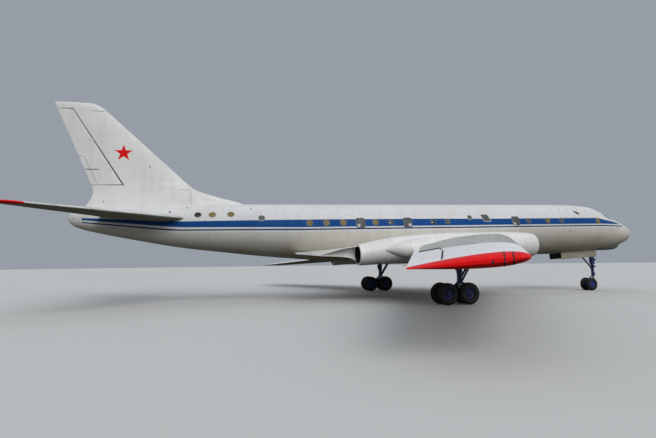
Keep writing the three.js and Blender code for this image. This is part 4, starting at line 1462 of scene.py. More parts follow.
            moving.slab(
                [grip + Vector((-0.06, 0.006, -0.012)), grip + Vector((0.06, 0.006, -0.012)),
                 grip + Vector((0.06, 0.006, 0.012)), grip + Vector((-0.06, 0.006, 0.012))],
                (0, 0.018, 0), 0.004,
            )
            deliver(moving, f"{name}_hinge_arms", BARE_METAL, body=name)
            deliver(fixed, f"{name}_hinge_brackets", BARE_METAL)

    def fittings(self) -> None:
        """Probes, drains, vents and the jacking pad."""
        metal, dark = Form(), Form()
        for side in Side:
            root = self.on_side(16.2, -1.28, side, 0.0)
            arm = Vector((0.0, side.value * 0.055, -0.075))
            metal.tube([root - arm * 0.2, root + arm * 0.7, root + arm + Vector((0.05, 0, 0)),
                        root + arm + Vector((0.24, 0, 0.004))], 0.011)
            for x, z, radius in self.drains:
                self.button(dark, x, z, side, radius)
        metal.turned(
            [(0, 0), (0, 0.07), (0.07, 0.07), (0.078, 0.062), (0.085, 0.05), (0.09, 0.048), (0.09, 0)],
            self.pad, DOWN, 28,
        )
        deliver(metal, "fuselage_probes", BARE_METAL)
        deliver(dark, "fuselage_drains", BLACK_SEAL)

    def button(self, form: Form, x: float, z: float, side: Side, radius: float, out: float = 0.004) -> None:
        """A small round vent, drain, pale patch or painted highlight that stands a little out of the skin.

        Args:
            form: The form to add it to.
            x: Its place along the barrel.
            z: Its height.
            side: The side of the aircraft.
            radius: Its radius.
            out: How far it stands out.
        """
        stack = ((1, out - 0.014), (1, out - 0.001), (0.8, out), (0.1, out))
        self.plate(x, z, side, oval(radius * 2, radius * 2, 2, 20), stack, form)


def half_thickness(share: float, ratio: float) -> float:
    """Half thickness of a wing section, as a share of its chord."""
    s = min(max(share, 0.0), 1.0)
    return 5 * ratio * (0.2969 * math.sqrt(s) - 0.126 * s - 0.3516 * s**2 + 0.2843 * s**3 - 0.1015 * s**4)


@dataclass(frozen=True)
class Station:
    """One section of a wing, tailplane or fin."""

    span: float
    lead: float
    trail: float
    height: float
    ratio: float
    twist: float = 0.0

    @property
    def chord(self) -> float:
        """The section's length."""
        return self.lead - self.trail

    def half(self, share: float) -> float:
        """Half thickness at a share of the chord."""
        return max(half_thickness(share, self.ratio) * self.chord, 0.006)

    def middle(self, share: float) -> tuple[float, float]:
        """The place and level of the chord line at a share of the chord."""
        level = self.height + (0.25 - share) * self.chord * math.tan(self.twist)
        return self.lead - share * self.chord, level

    def pinched(self, thinner: float, lead: float, trail: float) -> "Station":
        """The same section, thinner and with its ends drawn in."""
        return Station(
            self.span, self.lead - lead, self.trail + trail, self.height, self.ratio * thinner, self.twist
        )


@dataclass(frozen=True)
class RoundedEnd:
    """How the end of a wing, tailplane or fin thins out and draws in towards its tip."""

    thinnest: float
    power: float
    floor: float
    lead: float
    curve: float = 0.97
    trail: float = 0.0

    def thinner(self, share: float) -> float:
        """How much of its thickness the end keeps at a share of the way out."""
        return between(self.thinnest, 1.0, math.sqrt(max(1 - share**self.power, self.floor)))

    def at(self, station: Station, share: float) -> Station:
        """A section, drawn in for its share of the way out."""
        lead = self.lead * (1 - math.sqrt(1 - share**2 * self.curve))
        return station.pinched(self.thinner(share), lead, self.trail * share)


@dataclass(frozen=True)
class HingedPart:
    """A flap, aileron, elevator or rudder: its span, hinge line and travel in degrees."""

    inner: float
    outer: float
    share: float
    travel: float = 0.0


@dataclass
class LiftingSurface:
    """A wing, tailplane or fin, drawn by its sections, with parts hinged along its trailing edge."""

    plan: Callable[[float], Station]
    parts: Sequence[HingedPart]
    upright: bool = False
    face_points: int = 18
    tail_points: int = 5
    nose_points: int = 9
    step_back: float = 0.012
    nose_size: float = 0.975
    cove_growth: float = 1.05
    cove_clear: float = 0.006
    end_gap: float = 0.012
    # How far ahead of the hinge line a hinged part's nose takes painted shade, in half thicknesses, and
    # whether the hollows' end walls take it too
    nose_shade: float = 0.02
    shaded_ends: bool = True

    def place(self, x: float, span: float, level: float, side: Side) -> Vector:
        """A point by its place along the chord, along the span and through the thickness.

        Args:
            x: Its place along the barrel.
            span: Its place along the span.
            level: Its place through the thickness.
            side: The side of the aircraft.

        Returns:
            The point.
        """
        if self.upright:
            return Vector((x, level, span))
        return Vector((x, side.value * span, level))

    def sweep(self, part: HingedPart) -> float:
        """How far a part's hinge line is swept."""
        inner, outer = self.plan(part.inner), self.plan(part.outer)
        return math.atan2(inner.middle(part.share)[0] - outer.middle(part.share)[0], part.outer - part.inner)

    @staticmethod
    def faces(station: Station, shares: Row) -> tuple[list[Row], list[Row]]:
        """The upper face's points at shares of the chord, and the lower face's in reverse.

        Args:
            station: The section.
            shares: The shares, from the trailing edge forward.

        Returns:
            The two rows of points.
        """
        middles = [(*station.middle(share), station.half(share)) for share in shares]
        upper = [(x, level + half) for x, level, half in middles]
        return upper, [(x, level - half) for x, level, half in reversed(middles)]

    def face_shares(self, limit: float) -> list[float]:
        """Shares of the chord from a limit forward to the leading edge, closer together at the nose."""
        count = self.face_points
        return [limit * (1 - math.sin(math.pi / 2 * number / count)) for number in range(1, count)]

    def whole(self, station: Station, share: float, side: Side) -> Ring:
        """A full section. Its points match those of a section that is cut at the share.

        Args:
            station: The section.
            share: The share of the chord where a hinge line lies.
            side: The side of the aircraft.

        Returns:
            The section's ring.
        """
        tail = [between(1.0, share, number / (self.tail_points - 1)) for number in range(self.tail_points)]
        upper, lower = self.faces(station, tail + self.face_shares(share - self.step_back))
        points = [station.middle(1.0), *upper, station.middle(0.0), *lower]
        return [self.place(x, station.span, level, side) for x, level in points]

    def cut(self, station: Station, part: HingedPart, side: Side) -> Ring:
        """A section cut back to a hollow round the hinge line.

        Args:
            station: The section.
            part: The hinged part.
            side: The side of the aircraft.

        Returns:
            The section's ring.
        """
        x, level = station.middle(part.share)
        half = station.half(part.share)
        radius = half * self.cove_growth + self.cove_clear
        stretch = 1 / math.cos(self.sweep(part))
        edge = math.asin(half / radius)
        arc = [edge * number / self.tail_points for number in range(1, self.tail_points + 1)]
        ahead = radius * math.cos(edge) * stretch / station.chord
        upper = [(x + radius * math.cos(a) * stretch, level + radius * math.sin(a)) for a in arc]
        lower = [(px, 2 * level - pz) for px, pz in reversed(upper)]
        over, under = self.faces(station, self.face_shares(part.share - ahead - 0.004))
        points = [(x + radius * stretch, level), *upper, *over, station.middle(0.0), *under, *lower]
        return [self.place(px, station.span, pz, side) for px, pz in points]

    def skin(self, spans: Sequence[float], side: Side, ends: Sequence[Station] = ()) -> Form:
        """The fixed skin, notched for each hinged part.

        Args:
            spans: Where sections stand, from the root out.
            side: The side to build.
            ends: Further sections past the last, for a rounded end.

        Returns:
            The skin's form.
        """
        edges = sorted({edge for part in self.parts for edge in (part.inner, part.outer)})
        places = sorted({*spans, *edges})
        rings = []
        for span in places:
            station = self.plan(span)
            starting = [part for part in self.parts if abs(part.inner - span) < 1e-6]
            ending = [part for part in self.parts if abs(part.outer - span) < 1e-6]
            within = [part for part in self.parts if part.inner < span - 1e-6 and span + 1e-6 < part.outer]
            for part in ending:
                rings.append(self.cut(station, part, side))
                rings.append(self.whole(station, part.share, side))
            if within:
                rings.append(self.cut(station, within[0], side))
            elif not starting and not ending:
                rings.append(self.whole(station, self.near_share(span), side))
            for part in starting:
                rings.append(self.whole(station, part.share, side))
                rings.append(self.cut(station, part, side))
        for station in ends:
            rings.append(self.whole(station, self.near_share(station.span), side))
        return Form().loft(rings)

    def near_share(self, span: float) -> float:
        """The hinge share of the part nearest to a span.

        Args:
            span: A place along the span.

        Returns:
            The share.
        """
        if not self.parts:
            return 0.75
        return min(self.parts, key=lambda part: min(abs(part.inner - span), abs(part.outer - span))).share

    def in_cove(self, point: Vector) -> bool:
        """Whether a face of the fixed skin lies in a hollow round a hinge line or at its ends.

        Args:
            point: The face's middle.

        Returns:
            True where it does.
        """
        span = point.z if self.upright else abs(point.y)
        past = 1e-4 if self.shaded_ends else -1e-4
        for part in self.parts:
            if part.inner - past < span < part.outer + past:
                station = self.plan(span)
                x, level = station.middle(part.share)
                off = (point.y if self.upright else point.z) - level
                reach = station.half(part.share) * self.cove_growth + self.cove_clear
                edge = math.sqrt(max(reach**2 - off**2, 0.0)) + 0.004
                if point.x < x + max(edge, self.cove_clear):
                    return True
        return False

    def beneath(self, point: Vector) -> bool:
        """Whether a face lies below the surface's chord plane.

        Args:
            point: The face's middle.

        Returns:
            True where it does.
        """
        station = self.plan(abs(point.y))
        share = (station.lead - point.x) / station.chord
        return point.z < station.middle(share)[1] - station.half(share) * 0.35

    def in_nose(self, point: Vector, part: HingedPart) -> bool:
        """Whether a face of a hinged part lies on its nose, ahead of the hinge line."""
        station = self.plan(point.z if self.upright else abs(point.y))
        return point.x > station.middle(part.share)[0] + station.half(part.share) * self.nose_shade

    def moving_limits(self, part: HingedPart) -> tuple[float, float]:
        """Where a part starts and ends along the span, with room for its ends to swing.

        Args:
            part: The hinged part.

        Returns:
            Its start and end along the span.
        """
        inner, outer = self.plan(part.inner), self.plan(part.outer)
        sweep, travel = self.sweep(part), math.radians(part.travel)
        near = inner.half(part.share) * math.sin(sweep) * math.sin(travel)
        reach = (1 - part.share) * outer.chord * math.sin(sweep) * math.cos(sweep)
        gap = self.end_gap if part.travel else 0.004
        return part.inner + gap + near, part.outer - gap - reach * (1 - math.cos(travel))

    def moving(self, part: HingedPart, side: Side, steps: int = 14) -> Form:
        """A hinged part with its round nose.

        Args:
            part: The hinged part.
            side: The side of the aircraft.
            steps: How many lengths it is made of.

        Returns:
            The part's form.
        """
        start, end = self.moving_limits(part)
        stretch = 1 / math.cos(self.sweep(part))
        rings = []
        for length in range(steps + 1):
            station = self.plan(between(start, end, length / steps))
            x, level = station.middle(part.share)
            radius = station.half(part.share) * self.nose_size
            count = self.nose_points + 1
            turns = [math.pi / 2 - math.pi * number / count for number in range(1, count)]
            arc = [(x + radius * math.cos(a) * stretch, level + radius * math.sin(a)) for a in turns]
            upper, lower = self.faces(station, run(1.0, part.share, (part.share - 1.0) / 7))
            points = [station.middle(1.0), *upper, *arc, *lower]
            rings.append([self.place(px, station.span, pz, side) for px, pz in points])
        return Form().loft(rings)

    def upper_point(self, span: float, share: float, side: Side, rise: float = 0.0) -> Vector:
        """A point above the upper or outer face.

        Args:
            span: Its place along the span.
            share: Its share of the chord.
            side: The side of the aircraft.
            rise: How far above the face it is.

        Returns:
            The point.
        """
        station = self.plan(span)
        x, level = station.middle(share)
        return self.place(x, span, level + station.half(share) + rise, side)


def wing_station(span: float) -> Station:
    """The wing's section at a distance from the centre line. Its nose rises more and more past the kink.

    Args:
        span: The distance from the centre line.

    Returns:
        The section.
    """
    kink, tip = 5.66, 17.27
    inner, outer = min(span, kink), max(span - kink, 0.0)
    lead = 9.77 - inner * math.tan(math.radians(40.5)) - outer * math.tan(math.radians(37.5))
    trail = between(-1.1, -6.9, outer / (tip - kink))
    height = -1.05 - (span - 1.75) * math.tan(math.radians(3))
    tilt = between(0.1264, 0.153, outer / (tip - kink))
    twist = math.atan(tilt / (lead - trail)) if outer > 0 else math.radians(1.2)
    return Station(span, lead, trail, height, between(0.125, 0.105, span / tip), twist)


def tail_station(span: float) -> Station:
    """The tailplane's section at a distance from the centre line.

    Args:
        span: The distance from the centre line.

    Returns:
        The section.
    """
    out = span - 1.0
    lead = -12.4 - out * math.tan(math.radians(43.5))
    trail = -16.98 - out * math.tan(math.radians(22))
    return Station(span, lead, trail, 0.885, 0.095, math.radians(-2))


def fin_station(span: float) -> Station:
    """The fin's section at a height above the barrel's axis.

    Args:
        span: The height above the axis.

    Returns:
        The section.
    """
    lead = between(-10.93, -16.93, (span - 1.5) / 5.7)
    trail = between(-17.48, -19.425, max(span - 2.82, 0.0) / 4.68)
    return Station(span, lead, trail, 0.0, 0.1)


def run(start: float, end: float, step: float) -> list[float]:
    """Places from start to end, about a step apart."""
    count = max(round((end - start) / step), 1)
    return [between(start, end, number / count) for number in range(count + 1)]


@dataclass
class Wing:
    """One wing with its flaps, aileron, fences and red tip."""

    side: Side
    flap_inner: HingedPart = HingedPart(3.9, 4.98, 0.8)
    flap_outer: HingedPart = HingedPart(6.3, 11.3, 0.76)
    aileron: HingedPart = HingedPart(11.45, 16.5, 0.74, 20)
    tip_joint: float = 16.75
    tip: float = 17.264
    root: float = 3.47
    end: RoundedEnd = RoundedEnd(0.2, 2.6, 0.012, 0.26, trail=0.04)
    bands: tuple[float, float] = (0.16, 0.235)
    band_width: float = 0.035
    mark_x: float = -4.95
    fences: tuple[Row, ...] = ((7.2, 0.32), (10.0, 0.35))
    # Columns: share of the chord, share of the fence's rise
    fence_outline: tuple[Row, ...] = (
        (0.005, 0), (0.03, 0.12), (0.06, 0.35), (0.105, 0.66), (0.16, 0.88), (0.22, 0.97), (0.3, 1),
        (0.4, 1.01), (0.5, 1), (0.58, 0.98), (0.65, 0.93), (0.7, 0.88), (0.75, 0.8), (0.8, 0.72),
        (0.86, 0.65), (0.915, 0.58), (0.935, 0.45), (0.945, 0.2), (0.95, 0),
    )
    # Shares of the chord where the dark strip of painted shade runs beside each footing
    fence_gap: tuple[float, float] = (0.76, 0.94)

    def build(self) -> None:
        """Builds the wing's skins and all that it carries."""
        parts = (self.flap_inner, self.flap_outer, self.aileron)
        surface = LiftingSurface(wing_station, parts, shaded_ends=False)
        tag = self.side.tag
        spans = run(self.root, 5.66, 0.8) + run(5.66, self.tip_joint, 1.0)
        # Painted shade: faces below the chord plane take the underside shade, and faces in the hinge hollows
        # take the dark gap shade
        skin = surface.skin(spans, self.side).painted(2, surface.beneath).painted(1, surface.in_cove)
        deliver(skin, f"wing_skin_{tag}", WING_PAINT, DARK_SEAM_AND_GAP_SHADE, UNDERSIDE_SHADE, stands_for=(f"wing_{tag}",))
        for name, part, body in (
            ("flap_inner", self.flap_inner, "root"),
            ("flap_outer", self.flap_outer, "root"),
            ("aileron", self.aileron, f"aileron_{tag}"),
        ):
            # Painted shade: the part's underside, and its nose ahead of the hinge line in the gap
            moving = surface.moving(part, self.side).painted(2, surface.beneath)
            moving.painted(1, lambda point: surface.in_nose(point, part))
            deliver(
                moving, f"{name}_skin_{tag}", WING_PAINT, DARK_SEAM_AND_GAP_SHADE, UNDERSIDE_SHADE, body=body,
                stands_for=(f"{name}_{tag}",),
            )
        self.wing_tip(surface)
        self.build_fences(surface)
        self.build_fittings()

    def wing_tip(self, surface: LiftingSurface) -> None:
        """The red tip, rounded off, with two dark bands and a round mark.

        Args:
            surface: The wing's surface.
        """
        tag, way = self.side.tag, self.side.value
        rings = []
        for share in run(0.0, 1.0, 1 / 14):
            station = wing_station(between(self.tip_joint + 0.004, self.tip, share))
            rings.append(surface.whole(self.end.at(station, share), self.aileron.share, self.side))
        deliver(Form().loft(rings), f"wing_tip_skin_{tag}", RED_PAINT, stands_for=(f"wing_tip_{tag}",))
        bands, mark = Form(), Form()
        for share in self.bands:
            self.tip_band(bands, share)
        end = wing_station(self.tip - 0.06)
        mark.turned(
            [(-0.03, 0), (-0.03, 0.035), (0.0, 0.035), (0.004, 0.03), (0.004, 0.0)],
            (self.mark_x, way * self.tip, end.middle(0.42)[1]), (0, way, 0), 24,
        )
        deliver(bands, f"wing_tip_bands_{tag}", BLACK_SEAL)
        deliver(mark, f"wing_tip_mark_{tag}", BLACK_SEAL)

    def tip_level(self, span: float, share: float, way: int) -> Vector:
        """A point on the tip's skin.

        Args:
            span: Its distance from the centre line.
            share: Its share of the chord.
            way: 1 for the upper face, -1 for the lower one.

        Returns:
            The point.
        """
        local = min((span - self.tip_joint) / (self.tip - self.tip_joint), 1.0)
        station = wing_station(span).pinched(self.end.thinner(local), 0.0, 0.0)
        x, level = station.middle(share)
        return Vector((x, self.side.value * span, level + way * station.half(share)))

    def tip_band(self, form: Form, share: float) -> None:
        """A thin dark strip over the tip, from its upper face round the end to its lower one.

        Args:
            form: The form to add it to.
            share: Its share of the chord.
        """
        spans = run(self.tip_joint + 0.02, self.tip, 0.035) + [self.tip + 0.004]
        upper = [self.tip_level(span, share, 1) for span in spans]
        lower = [self.tip_level(span, share, -1) for span in reversed(spans)]
        middle_z = upper[0].z / 2 + lower[-1].z / 2
        outline = []
        for point in upper + lower:
            lift = 0.003 if point.z > middle_z else -0.003
            outline.append(point + Vector((0, 0, lift)))
        width = self.band_width
        form.slab([point - Vector((width / 2, 0, 0)) for point in outline], (width, 0, 0))

    def build_fences(self, surface: LiftingSurface) -> None:
        """Tall thin plates along the airflow, with a footing on each side and a dark strip of painted shade
        beside each rear footing.

        Args:
            surface: The wing's surface.
        """
        form, shade_strips = Form(), Form()
        for span, rise in self.fences:
            plan = self.fence_outline
            crest = [surface.upper_point(span, share, self.side, rise * level) for share, level in plan]
            foot = [surface.upper_point(span, share, self.side, -0.02) for share, _ in reversed(plan)]
            inner = Vector((0, -self.side.value * 0.014, 0))
            outline = [point + inner for point in crest[1:] + foot]
            form.slab(outline, (0, self.side.value * 0.028, 0), 0.006)
            for way in (-1, 1):
                base = []
                for share, _ in self.fence_outline[1:-1]:
                    point = surface.upper_point(span, share, self.side, 0.0)
                    base.append(point + Vector((0, way * 0.028, 0.003)))
                form.tube(base, 0.014, 8)
                # Painted shade: a dark strip beside the rear of each footing, where shade falls between the
                # fence and the wing
                start, end = self.fence_gap
                shade_strips.tube(
                    [surface.upper_point(span, share, self.side, 0.026) + Vector((0, way * 0.026, 0))
                     for share in run(start, end, 0.03)], 0.016, 8,
                )
        # Painted shade: the fences take the grey fence shade
        deliver(form, f"wing_fences_{self.side.tag}", FENCE_SHADE)
        deliver(shade_strips, f"wing_fence_gaps_{self.side.tag}", DARK_SEAM_AND_GAP_SHADE)

    def build_fittings(self) -> None:
        """The jacking pad, the tip's lamp and the static discharge wicks."""
        form = Form()
        station = wing_station(8.6)
        share = (station.lead - 1.1) / station.chord
        low = station.middle(share)[1] - station.half(share)
        form.turned(
            [(-0.06, 0), (-0.06, 0.09), (0.024, 0.09), (0.034, 0.08), (0.04, 0.06), (0.04, 0.0)],
            (1.1, self.side.value * 8.6, low), DOWN, 28,
        )
        deliver(form, f"wing_jacking_pad_{self.side.tag}", BARE_METAL)
        lamp_station = wing_station(17.1)
        x, level = lamp_station.middle(0.1)
        lamp = Form().turned(
            [(0, 0), (0, 0.05), (0.05, 0.045), (0.085, 0.03), (0.1, 0.0)],
            (x, self.side.value * 17.08, level), (0.35, self.side.value, 0), 20,
        )
        deliver(lamp, f"wing_tip_lamp_{self.side.tag}", CLEAR_LAMP)
        wicks = Form()
        for span in (12.6, 14.4, 16.0):
            tail = wing_station(span).middle(1.0)
            end = (tail[0] - 0.16, self.side.value * span, tail[1] - 0.015)
            wicks.rod((tail[0] + 0.02, self.side.value * span, tail[1]), end, 0.006, 0.003, 8)
        deliver(wicks, f"wing_wicks_{self.side.tag}", BLACK_SEAL, body=f"aileron_{self.side.tag}")


@dataclass(frozen=True)
class RootStation(Station):
    """A section of the fin's foot, where a rounded ridge runs forward of the fin's own section."""

    ridge: float = 0.17
    ridge_low: float = 1.45
    ridge_high: float = 2.82
    nose_length: float = 0.9

    def half(self, share: float) -> float:
        """Half thickness at a share of the chord: the fin's own, swollen into the ridge.

        Args:
            share: The share of the chord.

        Returns:
            The half thickness.
        """
        x = self.lead - share * self.chord
        fin = fin_station(self.span)
        own = (fin.lead - x) / (fin.lead - self.trail)
        body = half_thickness(own, self.ratio) * (fin.lead - self.trail) if own > 0 else 0.0
        fade = min(max(1 - (self.span - self.ridge_low) / (self.ridge_high - self.ridge_low), 0.0), 1.0)
        rounded = math.sqrt(min(max(self.lead - x, 0.0) / self.nose_length, 1.0))
        swell = between(0.05, self.ridge, fade) * rounded * (1 - share)
        return max((body**3 + swell**3) ** (1 / 3), 0.006)


@dataclass
class Tail:
    """The fin with its rudder and both tailplanes with their elevators."""

    rudder: HingedPart = HingedPart(2.82, 7.15, 0.69, 25)
    elevator: HingedPart = HingedPart(1.25, 6.5, 0.7, 25)
    fin_foot: tuple[Row, ...] = ((1.45, -17.93), (1.75, -17.7), (2.1, -17.5), (2.45, -17.4), (2.82, -17.48))
    # Columns: height, how far forward the root fairing reaches
    root_front: tuple[Row, ...] = (
        (1.45, -9.0), (1.7, -9.2), (1.78, -9.32), (1.85, -9.5), (2.0, -10.05), (2.13, -10.55), (2.3, -11.15),
        (2.47, -11.68), (2.65, -12.08), (2.82, -12.32),
    )
    root_heights: Row = (
        1.45, 1.6, 1.7, 1.78, 1.85, 1.92, 2.0, 2.06, 2.13, 2.21, 2.3, 2.38, 2.47, 2.56, 2.65, 2.74,
    )
    # Columns: x, z of the rudder's hinge fairings
    hinges: tuple[Row, ...] = ((-18.38, 6.68), (-17.54, 5.41), (-16.8, 4.06), (-16.57, 3.72))
    star_place: tuple[float, float] = (-15.85, 4.65)
    star_radius: float = 0.5
    star_ratio: float = 0.382
    fin_top: float = 7.5
    fin_end: RoundedEnd = RoundedEnd(0.15, 2.4, 0.03, 0.42, curve=0.98)
    tailplane_end: RoundedEnd = RoundedEnd(0.25, 3.0, 0.02, 0.3)
    tip_ends: tuple[float, float] = (6.724, 7.3)

    def __post_init__(self) -> None:
        """Makes smooth rows of the fin's foot, behind and in front."""
        self.foot, self.front = rows_of(self.fin_foot)[0], rows_of(self.root_front)[0]

    def build(self) -> None:
        """Builds the fin, the rudder and both tailplanes."""
        self.build_fin()
        self.build_rudder_details()
        self.build_stars()
        for side in Side:
            self.build_tailplane(side)

    def build_fin(self) -> None:
        """The fin and rudder, with the fin's rounded cap."""
        fin = LiftingSurface(fin_station, (self.rudder,), upright=True)
        hinge = self.rudder.share
        rings = [fin.whole(self.root_station(span), hinge, Side.LEFT) for span in self.root_heights]
        step = replace(self.root_station(self.rudder.inner), span=self.rudder.inner - 0.001)
        rings.append(fin.whole(step, hinge, Side.LEFT))
        rings.append(fin.cut(fin_station(self.rudder.inner), self.rudder, Side.LEFT))
        for span in run(self.rudder.inner + 0.4, self.rudder.outer - 0.02, 0.6):
            rings.append(fin.cut(fin_station(span), self.rudder, Side.LEFT))
        high = fin_station(self.rudder.outer)
        rings.append(fin.cut(high, self.rudder, Side.LEFT))
        rings.append(fin.whole(high, hinge, Side.LEFT))
        for share in (0.25, 0.5, 0.7, 0.85, 0.94, 1.0):
            station = fin_station(between(self.rudder.outer, self.fin_top, share))
            rings.append(fin.whole(self.fin_end.at(station, share), hinge, Side.LEFT))
        # Painted shade: the hollow round the rudder's hinge, and the rudder's nose in the gap
        skin = Form().loft(rings).painted(1, fin.in_cove)
        deliver(skin, "fin_skin", WHITE_PAINT, DARK_SEAM_AND_GAP_SHADE, stands_for=("fin",))
        rudder = fin.moving(self.rudder, Side.LEFT).painted(1, lambda point: fin.in_nose(point, self.rudder))
        deliver(rudder, "rudder_skin", WHITE_PAINT, DARK_SEAM_AND_GAP_SHADE, body="rudder", stands_for=("rudder",))

    def build_rudder_details(self) -> None:
        """The rudder's hinge fairings, its trim tab's seams and the fin's few seams and dots."""
        hinges, tab, seams = Form(), Form(), Form()
        for side in Side:
            for x, z in self.hinges:
                self.on_fin(hinges, [(x + 0.13, z - 0.01), (x - 0.13, z + 0.01)], 0.028, 0.012, side)
            tab_line = [(-18.2, 4.49), (-17.88, 4.43), (-17.21, 2.92)]
            self.on_fin(tab, tab_line, 0.007, 0.0025, side)
            self.on_fin(tab, [(-17.83, 3.72), (-17.1, 3.72)], 0.016, 0.014, side)
            self.on_fin(seams, [(-17.54, 7.03), (-16.84, 7.03)], 0.012, 0.0025, side)
            self.on_fin(seams, [(-12.91, 2.58), (-12.26, 2.58), (-12.25, 1.8)], 0.006, 0.0025, side)
            for x, z, radius in ((-14.47, 3.88, 0.035), (-16.86, 1.9, 0.03)):
                self.on_fin(seams, [(x - radius, z), (x + radius, z)], radius, 0.003, side)
        deliver(hinges, "rudder_hinge_fairings", WHITE_PAINT, body="rudder")
        deliver(tab, "rudder_tab_seams", DARK_SEAM_AND_GAP_SHADE, body="rudder")
        deliver(seams, "fin_seams", DARK_SEAM_AND_GAP_SHADE)

    def on_fin(self, form: Form, line: Sequence[Row], half: float, out: float, side: Side) -> None:
        """A low strip that follows the fin's skin.

        Args:
            form: The form to add it to.
            line: Its middle as (x, z) points.
            half: Half its width.
            out: How far it stands out.
            side: The side of the fin.
        """
        profile = ((-1, -0.01), (-1, out * 0.6), (-0.6, out), (0.6, out), (1, out * 0.6), (1, -0.01))
        for (x0, z0), (x1, z1) in zip(line, line[1:]):
            length = math.hypot(x1 - x0, z1 - z0)
            ux, uz = (x1 - x0) / length, (z1 - z0) / length
            count = max(round(length / 0.15), 2)
            rings = []
            for number in range(count + 1):
                cx, cz = between(x0, x1, number / count), between(z0, z1, number / count)
                ring = []
                for across, rise in profile:
                    px, pz = cx - uz * across * half, cz + ux * across * half
                    ring.append(Vector((px, side.value * (self.fin_half(px, pz) + rise), pz)))
                rings.append(ring)
            form.loft(rings)

    def root_station(self, z: float) -> RootStation:
        """The fin's section at a height below the rudder."""
        return RootStation(z, self.front.at(z), self.foot.at(z), 0.0, fin_station(z).ratio)

    def fin_half(self, x: float, z: float) -> float:
        """Half the fin's thickness at a place."""
        station = fin_station(z) if z >= self.rudder.inner else self.root_station(z)
        return station.half((station.lead - x) / station.chord)

    def build_stars(self) -> None:
        """A plain red star on each side of the fin."""
        x0, z0 = self.star_place
        form = Form()
        for side in Side:
            outline = []
            for number in range(10):
                reach = self.star_radius * (1 if number % 2 == 0 else self.star_ratio)
                angle = math.pi / 2 + math.pi * number / 5
                outline.append((x0 + reach * math.cos(angle), z0 + reach * math.sin(angle)))
            rings = []
            for scale, out in ((1, -0.012), (1, 0.0025), (0.97, 0.003), (0.6, 0.003), (0.03, 0.003)):
                ring = []
                for x, z in outline:
                    px, pz = x0 + (x - x0) * scale, z0 + (z - z0) * scale
                    ring.append(Vector((px, side.value * (self.fin_half(px, pz) + out), pz)))
                rings.append(ring)
            form.loft(rings)
        deliver(form, "fin_stars", RED_PAINT)

    def build_tailplane(self, side: Side) -> None:
        """One tailplane with its elevator and tip.

        Args:
            side: The side of the aircraft.
        """
        tail = LiftingSurface(tail_station, (self.elevator,))
        tag = side.tag
        # Painted shade: faces below the chord plane take the underside shade, and faces in the hinge hollow
        # take the dark gap shade
        skin = tail.skin(run(0.3, 6.72, 0.6), side).painted(2, tail.beneath).painted(1, tail.in_cove)
        deliver(
            skin, f"tailplane_skin_{tag}", TAIL_PAINT, DARK_SEAM_AND_GAP_SHADE, UNDERSIDE_SHADE, stands_for=(f"tailplane_{tag}",)
        )
        # Painted shade: the elevator's underside, and its nose ahead of the hinge line in the gap
        elevator = tail.moving(self.elevator, side).painted(2, tail.beneath)
        elevator.painted(1, lambda point: tail.in_nose(point, self.elevator))
        deliver(
            elevator, f"elevator_skin_{tag}", TAIL_PAINT, DARK_SEAM_AND_GAP_SHADE, UNDERSIDE_SHADE, body=f"elevator_{tag}",
            stands_for=(f"elevator_{tag}",),
        )
        rings = []
        for share in run(0.0, 1.0, 1 / 9):
            station = tail_station(between(*self.tip_ends, share))
            rings.append(tail.whole(self.tailplane_end.at(station, share), self.elevator.share, side))
        deliver(
            Form().loft(rings), f"tailplane_tip_skin_{tag}", RED_PAINT, stands_for=(f"tailplane_tip_{tag}",)
        )


